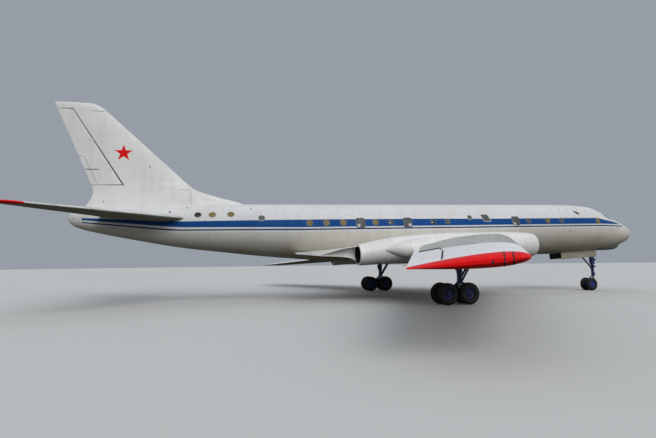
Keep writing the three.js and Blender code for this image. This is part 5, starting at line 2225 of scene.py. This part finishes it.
@dataclass
class Nacelle:
    """One engine's casing in the wing root, from its intake to the beak behind its nozzle."""

    side: Side
    # Columns: x, centre y, centre z, radius
    casing: tuple[Row, ...] = (
        (8.23, 2.78, -1.15, 0.665), (8.21, 2.78, -1.15, 0.692), (8.12, 2.78, -1.15, 0.725),
        (7.9, 2.78, -1.155, 0.765), (7.2, 2.785, -1.16, 0.815), (5.6, 2.795, -1.17, 0.85),
        (2.6, 2.82, -1.19, 0.86), (0.0, 2.85, -1.24, 0.8), (-1.8, 2.875, -1.33, 0.69),
        (-3.2, 2.895, -1.47, 0.56),
    )
    # Columns: x, outer y, outer bottom, top
    fairing: tuple[Row, ...] = (
        (7.3, 2.1, -1.3, -1.0), (6.2, 2.5, -1.56, -0.64), (3.0, 2.8, -1.7, -0.5), (-0.9, 2.8, -1.65, -0.62),
        (-3.1, 2.9, -1.99, -0.99), (-3.6, 2.87, -1.72, -1.06), (-4.4, 2.8, -1.57, -1.13),
        (-5.3, 2.69, -1.465, -1.205), (-6.5, 1.85, -1.31, -1.262),
    )
    duct: tuple[Row, ...] = (
        (8.4, 2.78, -1.15, 0.66), (8.228, 2.78, -1.15, 0.65), (8.2, 2.78, -1.15, 0.628),
        (8.1, 2.78, -1.152, 0.612), (7.9, 2.78, -1.155, 0.6), (4.2, 2.805, -1.18, 0.6),
        (-0.9, 2.862, -1.285, 0.6), (-2.0, 2.877, -1.35, 0.5), (-3.3, 2.895, -1.48, 0.47),
        (-5.25, 2.7, -1.44, 0.025),
    )
    root_y: float = 1.2
    root_low: float = -1.23
    root_rise: float = 0.06
    heart_y: float = 2.25
    count: int = 112
    fillet: float = 9.0
    beak_from: float = -3.2
    beak_ease: float = 0.6
    dark_duct: tuple[float, float] = (-3.19, 7.2)
    engine_place: tuple[float, float] = (2.81, -1.19)
    vanes: int = 22

    def __post_init__(self) -> None:
        """Makes the smooth rows of each table."""
        self.casing_rows = rows_of(self.casing)
        self.fairing_rows = rows_of(self.fairing)
        self.duct_rows = rows_of(self.duct)

    def outline(self, x: float, with_casing: bool = True) -> Ring:
        """The outline of casing and root fairing together, seen along the barrel.

        Args:
            x: The place along the barrel.
            with_casing: Whether the round casing reaches so far.

        Returns:
            The outline's ring.
        """
        cy, cz, radius = (row.at(x) for row in self.casing_rows)
        outer, low, high = (row.at(x) for row in self.fairing_rows)
        root_high = high + self.root_rise
        corners = [(self.root_y, self.root_low), (outer, low), (outer, high), (self.root_y, root_high)]
        inner = min(max((self.beak_from - x) / self.beak_ease, 0.0), 1.0)
        rear_y = between(self.root_y, outer, 0.6)
        heart = (between(self.heart_y, rear_y, inner), between(cz, (low + high) / 2, inner))
        ring = []
        for angle in self.angles(heart, corners):
            way = (math.cos(angle), math.sin(angle))
            reach = self.to_corners(heart, way, corners) if x <= self.fairing[0][0] else 0.0
            if with_casing:
                round_reach = self.to_circle(heart, way, (cy, cz), radius)
                larger, smaller = max(reach, round_reach), min(reach, round_reach)
                blend = (smaller / larger) ** self.fillet if smaller > 0 else 0.0
                reach = larger * (1 + blend) ** (1 / self.fillet)
            ring.append(Vector((x, self.side.value * (heart[0] + way[0] * reach), heart[1] + way[1] * reach)))
        return ring

    def angles(self, heart: Row, corners: Sequence[Row]) -> list[float]:
        """Directions round a heart, the same number between one corner and the next.

        Args:
            heart: A point inside.
            corners: The root fairing's four corners.

        Returns:
            The directions as angles.
        """
        turns = [math.atan2(z - heart[1], y - heart[0]) % FULL_TURN for y, z in corners]
        first, second, third, fourth = turns[1] - FULL_TURN, turns[2], turns[3], turns[0]
        legs = ((first, second), (second, third), (third, fourth), (fourth, turns[1]))
        each = self.count // 4
        return [between(start, end, number / each) for start, end in legs for number in range(each)]

    @staticmethod
    def to_circle(heart: Row, way: Row, centre: Row, radius: float) -> float:
        """How far a circle's edge is from a point in it, one way.

        Args:
            heart: The point.
            way: The direction.
            centre: The circle's centre.
            radius: Its radius.

        Returns:
            The distance.
        """
        dy, dz = heart[0] - centre[0], heart[1] - centre[1]
        along = dy * way[0] + dz * way[1]
        inside = along**2 - (dy**2 + dz**2 - radius**2)
        return -along + math.sqrt(max(inside, 0.0))

    @staticmethod
    def to_corners(heart: Row, way: Row, corners: Sequence[Row]) -> float:
        """How far the edge of a shape with corners is from a point, one way, or 0 if it isn't that way.

        Args:
            heart: The point.
            way: The direction.
            corners: The shape's corners, in order.

        Returns:
            The distance.
        """
        far = 0.0
        for (y0, z0), (y1, z1) in zip(corners, [*corners[1:], corners[0]]):
            dy, dz = y1 - y0, z1 - z0
            cross = way[0] * dz - way[1] * dy
            if abs(cross) < 1e-9:
                continue
            reach = ((y0 - heart[0]) * dz - (z0 - heart[1]) * dy) / cross
            share = ((y0 - heart[0]) * way[1] - (z0 - heart[1]) * way[0]) / cross
            if reach > 0 and -1e-6 <= share <= 1 + 1e-6:
                far = max(far, reach)
        return far

    def build(self) -> None:
        """Builds the casing with its duct, then the engine in it."""
        tag = self.side.tag
        front = [8.23, 8.225, 8.21, 8.17, 8.12, 8.02, 7.9, 7.6, 7.301]
        rings = [self.outline(x) for x in front]
        rings += [self.outline(x) for x in run(-3.2, 7.29, 0.22)[::-1]]
        rings += [self.outline(x, with_casing=False) for x in run(-6.5, -3.2, 0.18)[::-1]]
        turns = [FULL_TURN * number / 64 for number in range(64)]
        hollow = []
        for x in [8.4, 8.228, 8.215, 8.2, 8.15, 8.1, 8.0, 7.9] + run(-5.25, 7.6, 0.25)[::-1]:
            cy, cz, radius = (row.at(x) for row in self.duct_rows)
            y = self.side.value * cy
            hollow.append([Vector((x, y + radius * math.cos(a), cz + radius * math.sin(a))) for a in turns])
        casing = Form().loft(rings).carved([Form().loft(hollow)])
        casing.painted(1, self.in_duct)
        deliver(
            casing, f"nacelle_casing_{tag}", NACELLE_PAINT, DARK_METAL, stands_for=(f"nacelle_{tag}",),
            crease=26.0,
        )
        self.build_engine(tag)

    def in_duct(self, point: Vector) -> bool:
        """Whether a face is in the duct, well behind the lip and ahead of the beak.

        Args:
            point: The face's middle.

        Returns:
            True where it is.
        """
        cy, cz, radius = (row.at(point.x) for row in self.duct_rows)
        away = math.hypot(abs(point.y) - cy, point.z - cz)
        return away < radius + 0.012 and self.dark_duct[0] < point.x < self.dark_duct[1]

    def build_engine(self, tag: str) -> None:
        """The engine's front with its vanes, its casing and its tail cone.

        Args:
            tag: The side's name in piece names.
        """
        y, z = self.side.value * self.engine_place[0], self.engine_place[1]
        form = Form()
        form.turned(
            [(0.0, 0.0), (0.02, 0.05), (0.08, 0.11), (0.2, 0.17), (0.3, 0.19), (0.42, 0.2), (0.42, 0.59),
             (4.5, 0.585), (4.5, 0.3), (4.9, 0.26), (5.5, 0.12), (5.9, 0.0)],
            (4.2, y, z), (-1.0, self.side.value * 0.011, -0.02), 48,
        )
        deliver(form, f"engine_core_{tag}", DARK_METAL, stands_for=(f"engine_{tag}",))
        vanes = Form()
        for number in range(self.vanes):
            angle = FULL_TURN * number / self.vanes
            out = Vector((0, math.cos(angle), math.sin(angle)))
            across = Vector((0, -math.sin(angle), math.cos(angle)))
            hub = Vector((3.98, y, z))
            outline = [hub + out * 0.17 + across * 0.006, hub + out * 0.595 + across * 0.014,
                       hub + out * 0.595 - across * 0.006, hub + out * 0.17 - across * 0.006]
            vanes.slab(outline, Vector((-0.16, 0, 0)) + across * 0.05)
        deliver(vanes, f"engine_vanes_{tag}", BARE_METAL)


@dataclass
class GearPod:
    """The long fairing at the wing's kink that the main legs fold into."""

    side: Side
    track_y: float = 5.66
    # Columns: x, centre z, half height, half width
    sections: tuple[Row, ...] = (
        (4.7, -1.18, 0.06, 0.06), (4.62, -1.19, 0.14, 0.13), (4.3, -1.23, 0.3, 0.28), (3.3, -1.3, 0.52, 0.47),
        (1.5, -1.33, 0.62, 0.56), (-0.4, -1.31, 0.59, 0.54), (-1.5, -1.29, 0.44, 0.4),
        (-2.3, -1.29, 0.22, 0.2), (-2.63, -1.3, 0.05, 0.05),
    )

    def build(self) -> None:
        """Builds the pod's skin."""
        rows = rows_of(self.sections)
        rings = []
        for x in [4.7, 4.695, 4.68, 4.65] + run(-2.63, 4.6, 0.16)[::-1]:
            z, rise, half = (row.at(x) for row in rows)
            y = self.side.value * self.track_y
            outline = oval(2 * half, 2 * rise, 2.15, 56)
            rings.append([Vector((x, y + along, z + up)) for along, up in outline])
        tag = self.side.tag
        deliver(Form().loft(rings), f"gear_pod_skin_{tag}", NACELLE_PAINT, stands_for=(f"gear_pod_{tag}",))


@dataclass
class ChinFairing:
    """The dark fairing under the nose."""

    middle: float = -1.1
    # Columns: x, bottom, half width
    sections: tuple[Row, ...] = (
        (17.9, -1.32, 0.2), (17.895, -1.35, 0.25), (17.87, -1.39, 0.31), (17.82, -1.44, 0.37),
        (17.74, -1.485, 0.42), (17.6, -1.535, 0.47), (17.45, -1.57, 0.51), (16.9, -1.605, 0.56),
        (16.25, -1.59, 0.54), (16.0, -1.56, 0.5), (15.7, -1.5, 0.42),
    )

    def build(self) -> None:
        """Builds the fairing's skin."""
        rows = rows_of(self.sections)
        rings = []
        for x in [17.9, 17.897, 17.89, 17.88, 17.86, 17.84] + run(15.7, 17.8, 0.08)[::-1]:
            bottom, half = (row.at(x) for row in rows)
            outline = oval(2 * half, 2 * (self.middle - bottom), 3.0, 48)
            rings.append([Vector((x, along, self.middle + up)) for along, up in outline])
        deliver(Form().loft(rings), "chin_fairing_skin", CHIN_PAINT, stands_for=("chin_fairing",))


@dataclass(frozen=True)
class Wheel:
    """A wheel's sizes: radius, width, rim radius and how far it stands from its axle's middle."""

    radius: float
    width: float
    rim: float
    axle: float
    offset: float

    def spindle(self, centre: Vector, half: float, steps: int) -> Form:
        """The plain axle between a pair of wheels, half its length to each side."""
        profile = [(-half, 0), (-half, self.axle), (half, self.axle), (half, 0)]
        return Form().turned(profile, centre, PORT, steps)

    def tyre(self, centre: Vector, way: int) -> Form:
        """A tyre with rounded shoulders and grooves round its tread.

        Args:
            centre: The axle's middle.
            way: 1 for the wheel to port of it, -1 for the other.

        Returns:
            The tyre's form.
        """
        half = self.width / 2
        wall = self.radius - self.rim
        bead = [(0.72 * half, self.rim), (0.86 * half, self.rim + 0.06 * wall)]
        for angle in (10, 30, 50, 68):
            turn = math.radians(angle)
            bead.append((half * math.cos(turn), self.rim + wall * (0.42 + 0.483 * math.sin(turn))))
        profile = [(-along, reach) for along, reach in bead]
        for groove in (-0.42, -0.14, 0.14, 0.42):
            crown, place = self.radius - 0.04 * wall * abs(groove), groove * half
            floor = self.radius - 0.012
            for along, reach in ((-0.012, crown), (-0.006, floor), (0.006, floor), (0.012, crown)):
                profile.append((place + along, reach))
        points = [(along, min(reach, self.radius)) for along, reach in profile + bead[::-1]]
        return Form().turned(points, centre + Vector((0, way * self.offset, 0)), PORT, 72, ring=True)

    def hub(self, form: Form, centre: Vector, way: int) -> None:
        """Adds a dished hub with two rings of bolts.

        Args:
            form: The form to add it to.
            centre: The axle's middle.
            way: 1 for the wheel to port of it, -1 for the other.
        """
        middle = centre + Vector((0, way * self.offset, 0))
        half = self.width / 2 * 0.72
        rim = self.rim - 0.001
        profile = [
            (-half - 0.01, self.axle), (-half - 0.01, rim * 0.6), (-half, rim * 0.97), (-half + 0.01, rim),
            (half - 0.01, rim), (half, rim * 0.97), (half - 0.035, rim * 0.9), (half - 0.05, rim * 0.62),
            (half - 0.02, rim * 0.46), (half + 0.008, rim * 0.42), (half + 0.016, rim * 0.36),
            (half + 0.016, 0.0),
        ]
        points = [(way * along, reach) for along, reach in profile]
        form.turned(points, middle, PORT, 48)
        outer_bolt = [(0, 0), (0, 0.028), (0.012, 0.028), (0.016, 0.022), (0.016, 0)]
        inner_bolt = [(0, 0), (0, 0.012), (0.012, 0.012), (0.014, 0.008), (0.014, 0)]
        rings = (
            (8, 0.5, 0.76, half - 0.048, outer_bolt, 12),
            (10, 0.0, 0.3, half + 0.014, inner_bolt, 6),
        )
        for count, start, reach, along, bolt, steps in rings:
            for number in range(count):
                angle = FULL_TURN * (number + start) / count
                out = Vector((math.cos(angle), 0, math.sin(angle)))
                seat = middle + out * rim * reach + Vector((0, way * along, 0))
                form.turned(bolt, seat, (0, way, 0), steps)


MAIN_WHEEL = Wheel(0.55, 0.32, 0.28, 0.06, 0.345)
NOSE_WHEEL = Wheel(0.45, 0.26, 0.215, 0.045, 0.235)


@dataclass
class MainGear:
    """One main leg with its rocking beam and four wheels."""

    side: Side
    track_y: float = 5.66
    beam_x: float = 1.22695
    spacing: float = 1.19
    leg_x: float = 1.54695
    axle_half: float = 0.25

    def build(self) -> None:
        """Builds the leg, the beam, the axles and the tyres."""
        tag = self.side.tag
        y = self.side.value * self.track_y
        self.build_leg(tag, y)
        self.build_beam(tag, y)
        for place, way in (("front", 1), ("rear", -1)):
            x = self.beam_x + way * self.spacing / 2
            centre = Vector((x, y, MAIN_WHEEL.radius))
            body = f"main_wheels_{place}_{tag}"
            axle = MAIN_WHEEL.spindle(centre, self.axle_half, 32)
            for number, across in ((1, -1), (2, 1)):
                MAIN_WHEEL.hub(axle, centre, across)
                name = f"main_tyre_{place}_{tag}_{number}"
                deliver(
                    MAIN_WHEEL.tyre(centre, across), f"{name}_tread", RUBBER, body=body, place=GROUND,
                    stands_for=(name,),
                )
            # Painted shade: the main hubs take the darker copy of the hub paint
            deliver(
                axle, f"main_hubs_{place}_{tag}", MAIN_HUB_SHADE, body=body, place=GROUND,
                stands_for=(f"main_axle_{place}_{tag}",),
            )

    def build_leg(self, tag: str, y: float) -> None:
        """The shock strut with collars, its stay, torque link and pipes.

        Args:
            tag: The side's name in piece names.
            y: The leg's place across the aircraft.
        """
        x = self.leg_x
        leg, steel, pipes = Form(), Form(), Form()
        leg.rod((x, y, 1.06), (x, y, 2.52), 0.118, steps=36)
        leg.rod((x, y, 1.62), (x, y, 2.5), 0.15, steps=36)
        leg.block((x - 0.2, y - 0.1, 1.7), (x + 0.02, y + 0.1, 1.98), 0.03)
        for z, reach, high in ((1.06, 0.14, 0.09), (1.36, 0.134, 0.05), (1.58, 0.168, 0.07)):
            leg.collar((x, y, z), UP, 0.09, reach, high)
        for across in (-0.12, 0.12):
            leg.rod((x + 0.02, y + across, 1.12), (x + 0.74, y + across, 2.25), 0.052, steps=20)
        leg.rod((x + 0.01, y - 0.15, 1.12), (x + 0.01, y + 0.15, 1.12), 0.055, steps=20)
        leg.rod((x + 0.38, y - 0.14, 1.685), (x + 0.38, y + 0.14, 1.685), 0.028, steps=16)
        leg.rod((x, y - 0.14, 0.76), (x, y + 0.14, 0.76), 0.06, steps=24)
        leg.block((x - 0.1, y - 0.085, 0.648), (x + 0.1, y + 0.085, 0.83), 0.02)
        steel.rod((x, y, 0.8), (x, y, 1.09), 0.078, steps=32)
        self.link(leg, (x - 0.11, y, 1.12), (x - 0.36, y, 0.93), 0.06)
        self.link(leg, (x - 0.36, y, 0.93), (x - 0.09, y, 0.76), 0.06)
        leg.rod((x - 0.36, y - 0.07, 0.93), (x - 0.36, y + 0.07, 0.93), 0.026, steps=16)
        for across in (-1, 1):
            pipes.tube(
                [(x - 0.06, y + across * 0.15, 2.3), (x - 0.06, y + across * 0.15, 1.7),
                 (x - 0.06, y + across * 0.135, 1.3), (x - 0.12, y + across * 0.15, 1.0),
                 (x - 0.05, y + across * 0.13, 0.85), (x - 0.06, y + across * 0.095, 0.72)], 0.012, 8,
            )
        deliver(leg, f"main_strut_{tag}", GEAR_PAINT, place=GROUND, stands_for=(f"main_leg_{tag}",))
        deliver(steel, f"main_piston_{tag}", CHROME, place=GROUND)
        deliver(pipes, f"main_leg_pipes_{tag}", BLACK_SEAL, place=GROUND)

    @staticmethod
    def link(form: Form, start: Row, end: Row, half: float) -> None:
        """A flat tapered link between two pins.

        Args:
            form: The form to add it to.
            start: The middle of one pin.
            end: The middle of the other.
            half: Half its width at the first pin.
        """
        a, b = Vector(start), Vector(end)
        along = (b - a).normalized()
        up = along.cross(Vector((0, 1, 0))).normalized() * 0.018
        side = Vector((0, half, 0))
        form.slab([a - side - up, a + side - up, b + side * 0.7 - up, b - side * 0.7 - up], up * 2, 0.006)

    def build_beam(self, tag: str, y: float) -> None:
        """The rocking beam with eyes at its axles and brake rods beneath.

        Args:
            tag: The side's name in piece names.
            y: The leg's place across the aircraft.
        """
        x0 = self.beam_x
        z = MAIN_WHEEL.radius
        reach = self.spacing / 2
        form = Form()
        outline = [
            (x0 - reach - 0.1, y - 0.07, z - 0.06), (x0 - reach + 0.1, y - 0.07, z - 0.095),
            (x0 + reach - 0.1, y - 0.07, z - 0.095), (x0 + reach + 0.1, y - 0.07, z - 0.06),
            (x0 + reach + 0.1, y - 0.07, z + 0.06), (x0 + reach - 0.12, y - 0.07, z + 0.08),
            (x0 + 0.42, y - 0.07, z + 0.094), (x0 + 0.2, y - 0.07, z + 0.094),
            (x0 - reach + 0.12, y - 0.07, z + 0.075), (x0 - reach - 0.1, y - 0.07, z + 0.06),
        ]
        form.slab(outline, (0, 0.14, 0), 0.014)
        for way in (-1, 1):
            form.collar((x0 + way * reach, y - 0.075, z), PORT, 0.062, 0.108, 0.15, (0.01, 0.008), 32)
            form.rod((x0 + way * 0.12, y, z - 0.15), (x0 + way * (reach - 0.05), y, z - 0.15), 0.02, steps=12)
            form.block((x0 + way * (reach - 0.1) - 0.03, y - 0.03, z - 0.17),
                       (x0 + way * (reach - 0.1) + 0.03, y + 0.03, z - 0.05), 0.008)
        form.block((x0 - 0.15, y - 0.035, z - 0.175), (x0 + 0.15, y + 0.035, z - 0.08), 0.01)
        deliver(
            form, f"bogie_beam_forging_{tag}", GEAR_PAINT, place=GROUND, stands_for=(f"bogie_beam_{tag}",)
        )


@dataclass
class NoseGear:
    """The nose leg with its steered fork, wheels and bay doors."""

    axle_x: float = 15.4144
    leg_x: float = 15.8544
    axle_half: float = 0.2
    # Columns: height, reach and length of each collar on the leg
    collars: tuple[Row, ...] = (
        (1.09, 0.112, 0.09), (1.55, 0.104, 0.06), (1.86, 0.17, 0.08), (2.5, 0.165, 0.06),
    )
    door_ends: tuple[float, float] = (12.49, 15.52)
    door_tops: tuple[float, float] = (-1.69, -1.585)
    door_y: float = 0.536
    door_depth: float = 0.465
    door_thick: float = 0.022
    door_ribs: int = 7
    knuckle: float = 0.016
    knuckle_runs: tuple[Row, ...] = ((12.49, 12.7895), (12.8505, 15.2195), (15.2805, 15.52))
    lug_starts: Row = (12.79, 15.22)

    def build(self) -> None:
        """Builds the leg, fork, wheels and doors."""
        self.build_leg()
        self.build_fork()
        centre = Vector((self.axle_x, 0, NOSE_WHEEL.radius))
        hubs = NOSE_WHEEL.spindle(centre, self.axle_half, 28)
        for side in Side:
            NOSE_WHEEL.hub(hubs, centre, side.value)
            name = f"nose_tyre_{side.tag}"
            tyre = NOSE_WHEEL.tyre(centre, side.value)
            deliver(tyre, f"{name}_tread", RUBBER, body="nose_wheels", place=GROUND, stands_for=(name,))
            self.build_door(side)
        deliver(hubs, "nose_hubs", HUB_PAINT, body="nose_wheels", place=GROUND, stands_for=("nose_axle",))

    def build_leg(self) -> None:
        """The strut, its stay and its towing lug."""
        x = self.leg_x
        leg, pipes, glass = Form(), Form(), Form()
        leg.rod((x, 0, 1.08), (x, 0, 3.45), 0.085, steps=36)
        leg.rod((x, 0, 1.9), (x, 0, 3.4), 0.15, steps=36)
        leg.block((x - 0.17, -0.09, 1.98), (x + 0.1, 0.09, 2.42), 0.03)
        leg.rod((x + 0.02, -0.22, 1.72), (x + 0.02, 0.22, 1.72), 0.06, steps=20)
        for across in (-1, 1):
            leg.rod((x + 0.12, across * 0.14, 2.2), (x + 0.02, across * 0.14, 2.2), 0.075, 0.05, steps=24)
            leg.rod((x, 0, 2.2), (x + 0.03, across * 0.12, 2.2), 0.022, steps=12)
            glass.rod((x + 0.118, across * 0.14, 2.2), (x + 0.128, across * 0.14, 2.2), 0.066, steps=24)
        for z, reach, high in self.collars:
            leg.collar((x, 0, z), UP, 0.07, reach, high)
        leg.rod((x - 0.03, 0, 1.54), (x - 1.72, 0, 3.29), 0.05, steps=24)
        leg.rod((x - 0.05, -0.12, 1.57), (x - 0.05, 0.12, 1.57), 0.045, steps=20)
        leg.rod((x - 0.1, 0, 2.95), (x - 1.3, 0, 2.86), 0.03, steps=16)
        leg.block((x + 0.05, -0.06, 1.14), (x + 0.135, 0.06, 1.26), 0.012)
        lug = [(-0.05, 0.018), (-0.05, 0.05), (0.05, 0.05), (0.05, 0.018)]
        leg.turned(lug, (x + 0.125, 0, 1.2), PORT, 20, ring=True)
        for across in (-1, 1):
            pipes.tube(
                [(x - 0.06, across * 0.105, 3.2), (x - 0.06, across * 0.105, 2.0),
                 (x - 0.05, across * 0.085, 1.75), (x - 0.05, across * 0.085, 1.25),
                 (x - 0.03, across * 0.1, 1.14)], 0.01, 8,
            )
        deliver(leg, "nose_strut", GEAR_PAINT, place=GROUND, stands_for=("nose_leg",))
        deliver(pipes, "nose_leg_pipes", BLACK_SEAL, place=GROUND)
        deliver(glass, "nose_leg_lamps", CLEAR_LAMP, place=GROUND)

    def build_fork(self) -> None:
        """The turning collar, the polished piston and the arm back to the axle."""
        x, back = self.leg_x, self.axle_x
        form, steel = Form(), Form()
        collar = [(0, 0.06), (0, 0.112), (0.008, 0.12), (0.052, 0.12), (0.058, 0.112), (0.058, 0.06)]
        form.turned(collar, (x, 0, 1.0205), UP, 36, ring=True)
        steel.rod((x, 0, 0.7), (x, 0, 1.05), 0.066, steps=32)
        outline = [
            (x + 0.07, -0.06, 0.6), (x + 0.07, -0.06, 0.74), (x - 0.02, -0.06, 0.77), (x - 0.16, -0.06, 0.7),
            (back + 0.06, -0.06, 0.54), (back - 0.06, -0.06, 0.51), (back - 0.09, -0.06, 0.43),
            (back - 0.03, -0.06, 0.37), (back + 0.1, -0.06, 0.38), (back + 0.24, -0.06, 0.46),
        ]
        form.slab(outline, (0, 0.12, 0), 0.014)
        form.collar((back, -0.07, NOSE_WHEEL.radius), PORT, 0.047, 0.094, 0.14, (0.01, 0.009), 32)
        MainGear.link(form, (x - 0.1, 0, 1.04), (x - 0.3, 0, 0.9), 0.045)
        MainGear.link(form, (x - 0.3, 0, 0.9), (x - 0.1, 0, 0.72), 0.045)
        form.rod((x - 0.3, -0.055, 0.9), (x - 0.3, 0.055, 0.9), 0.022, steps=16)
        deliver(
            form, "nose_fork_forging", GEAR_PAINT, body="nose_steering", place=GROUND,
            stands_for=("nose_fork",),
        )
        deliver(steel, "nose_piston", CHROME, body="nose_steering", place=GROUND)

    def build_door(self, side: Side) -> None:
        """One bay door hanging open, with ribs on its inner face and lugs that carry its hinge.

        Args:
            side: The side that it hangs on.
        """
        form, lugs = Form(), Form()
        rear, front = self.door_ends
        top_rear, top_front = self.door_tops
        depth, tag = self.door_depth, side.tag
        y = side.value * self.door_y
        through = side.value * self.door_thick
        face = y - through / 2
        outline = [
            (rear, face, top_rear - 0.03), (front, face, top_front - 0.03),
            (front, face, top_front - depth + 0.05), (front - 0.04, face, top_front - depth + 0.012),
            (front - 0.1, face, top_front - depth), (rear + 0.1, face, top_rear - depth),
            (rear + 0.04, face, top_rear - depth + 0.012), (rear, face, top_rear - depth + 0.05),
        ]
        form.slab(outline, (0, through, 0), 0.006)
        near, far = sorted((face, face - through))
        for number in range(self.door_ribs):
            share = (number + 0.5) / self.door_ribs
            x, top = between(rear, front, share), between(top_rear, top_front, share)
            form.block((x - 0.014, near, top - depth + 0.05), (x + 0.014, far, top - 0.08), 0.004)
        for start, end in self.knuckle_runs:
            a, b = self.door_top(start), self.door_top(end)
            form.rod((start, y, a), (end, y, b), self.knuckle, steps=16)
            form.slab(
                [(start + 0.03, y - 0.006, a - 0.05), (end - 0.03, y - 0.006, b - 0.05),
                 (end - 0.03, y - 0.006, b - 0.008), (start + 0.03, y - 0.006, a - 0.008)], (0, 0.012, 0),
            )
        # Painted shade: the door's inner side takes the bay shade
        form.painted(1, lambda point: abs(point.y) < abs(face) + 0.003)
        deliver(
            form, f"nose_bay_door_panel_{tag}", LIVERY, BAY_SHADE, body=f"nose_bay_door_{tag}",
            stands_for=(f"nose_bay_door_{tag}",),
        )
        near, far = sorted((y, y + side.value * 0.06))
        for start in self.lug_starts:
            level = self.door_top(start)
            lugs.rod((start + 0.001, y, level), (start + 0.059, y, level + 0.002), self.knuckle, steps=16)
            lugs.block((start + 0.006, near, level - 0.01), (start + 0.054, far, level + 0.1), 0.004)
        deliver(lugs, f"nose_bay_lugs_{tag}", BARE_METAL)

    def door_top(self, x: float) -> float:
        """The height of the bay doors' hinge line at a place along the nose."""
        rear, front = self.door_ends
        return between(*self.door_tops, (x - rear) / (front - rear))


@dataclass
class PhotoCamera:
    """The camera where the photographer stood."""

    location: Row = (-10.2296, -24.6656, -1.7614)
    yaw: float = 13.889
    pitch: float = 5.89
    roll: float = -1.872
    lens: float = 22.452

    def build(self) -> None:
        """Places the camera in the airframe's own frame and makes it the scene's."""
        data = bpy.data.cameras.new("camera")
        data.lens = self.lens
        data.sensor_width = 36.0
        data.clip_start, data.clip_end = 0.1, 2000.0
        camera = bpy.data.objects.new("camera", data)
        bpy.context.scene.collection.objects.link(camera)
        yaw, pitch, roll = (math.radians(value) for value in (self.yaw, self.pitch, self.roll))
        ahead = Vector((math.sin(yaw) * math.cos(pitch), math.cos(yaw) * math.cos(pitch), math.sin(pitch)))
        right = Vector((math.cos(yaw), -math.sin(yaw), 0))
        up = right.cross(ahead)
        across = right * math.cos(roll) + up * math.sin(roll)
        upward = up * math.cos(roll) - right * math.sin(roll)
        turn = Matrix((across, upward, -ahead)).transposed().to_4x4()
        camera.matrix_world = AIRFRAME @ Matrix.Translation(self.location) @ turn
        bpy.context.scene.camera = camera


@dataclass
class Studio:
    """A plain pale floor under a plain, soft, overcast sky."""

    floor_radius: float = 400.0
    zenith: Colour = (0.54, 0.56, 0.6, 1.0)
    horizon: Colour = (0.44, 0.45, 0.47, 1.0)
    below: Colour = (0.04, 0.04, 0.036, 1.0)
    backdrop: Colour = srgb(150, 157, 166)
    floor_seen: Colour = srgb(206, 207, 205)
    floor_lit: Colour = (0.1, 0.1, 0.085, 1.0)
    key: float = 1.45
    key_spread: float = 44.0
    key_from: Row = (0.1, -0.78, 0.62)

    def build(self) -> None:
        """Makes the floor, the sky and the soft key light."""
        bpy.context.scene.view_settings.view_transform = "Standard"
        self.build_floor()
        self.build_sky()
        data = bpy.data.lights.new("key", "SUN")
        data.energy = self.key
        data.angle = math.radians(self.key_spread)
        lamp = bpy.data.objects.new("key", data)
        lamp.rotation_euler = Vector(self.key_from).to_track_quat("Z", "Y").to_euler()
        bpy.context.scene.collection.objects.link(lamp)

    def build_floor(self) -> None:
        """A round floor that looks pale but throws little light up at the aircraft."""
        form = Form()
        bmesh.ops.create_circle(form.bm, cap_ends=True, segments=96, radius=self.floor_radius)
        floor = bpy.data.objects.new("floor", form.moved(Matrix.Translation((0, 0, -0.003))).mesh("floor"))
        bpy.context.scene.collection.objects.link(floor)
        material = bpy.data.materials.new("studio_floor")
        material.use_nodes = True
        bench = Bench(material.node_tree)
        shader = material.node_tree.nodes["Principled BSDF"]
        seen = bench.add("ShaderNodeLightPath").outputs["Is Camera Ray"]
        clouds = bench.noise(bench.add("ShaderNodeTexCoord").outputs["Object"], 0.05)
        pale = bench.mix(clouds, self.floor_seen, bench.tinted(self.floor_seen, (0.9, 0.9, 0.9, 1.0)))
        bench.feed(shader.inputs["Base Color"], bench.mix(seen, self.floor_lit, pale))
        shader.inputs["Roughness"].default_value = 0.9
        floor.data.materials.append(material)

    def build_sky(self) -> None:
        """An overcast dome that lights from above, with a plain grey backdrop."""
        world = bpy.data.worlds.new("sky")
        world.use_nodes = True
        bpy.context.scene.world = world
        bench = Bench(world.node_tree)
        shade = world.node_tree.nodes["Background"]
        height = bench.parts(bench.add("ShaderNodeTexCoord").outputs["Generated"])[2]
        upper = bench.mix(bench.spread(height, 0.0, 0.8), self.horizon, self.zenith)
        dome = bench.mix(bench.spread(height, -0.06, 0.0), self.below, upper)
        seen = bench.add("ShaderNodeLightPath").outputs["Is Camera Ray"]
        bench.feed(shade.inputs["Color"], bench.mix(seen, dome, self.backdrop))


def main() -> None:
    """Builds every sub-assembly."""
    logging.basicConfig(level=logging.INFO, format="%(name)s: %(message)s")
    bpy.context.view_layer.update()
    PhotoCamera().build()
    Studio().build()
    Fuselage().build()
    ChinFairing().build()
    for side in Side:
        Wing(side).build()
        Nacelle(side).build()
        GearPod(side).build()
        MainGear(side).build()
    Tail().build()
    NoseGear().build()


if __name__ == "__main__":
    main()
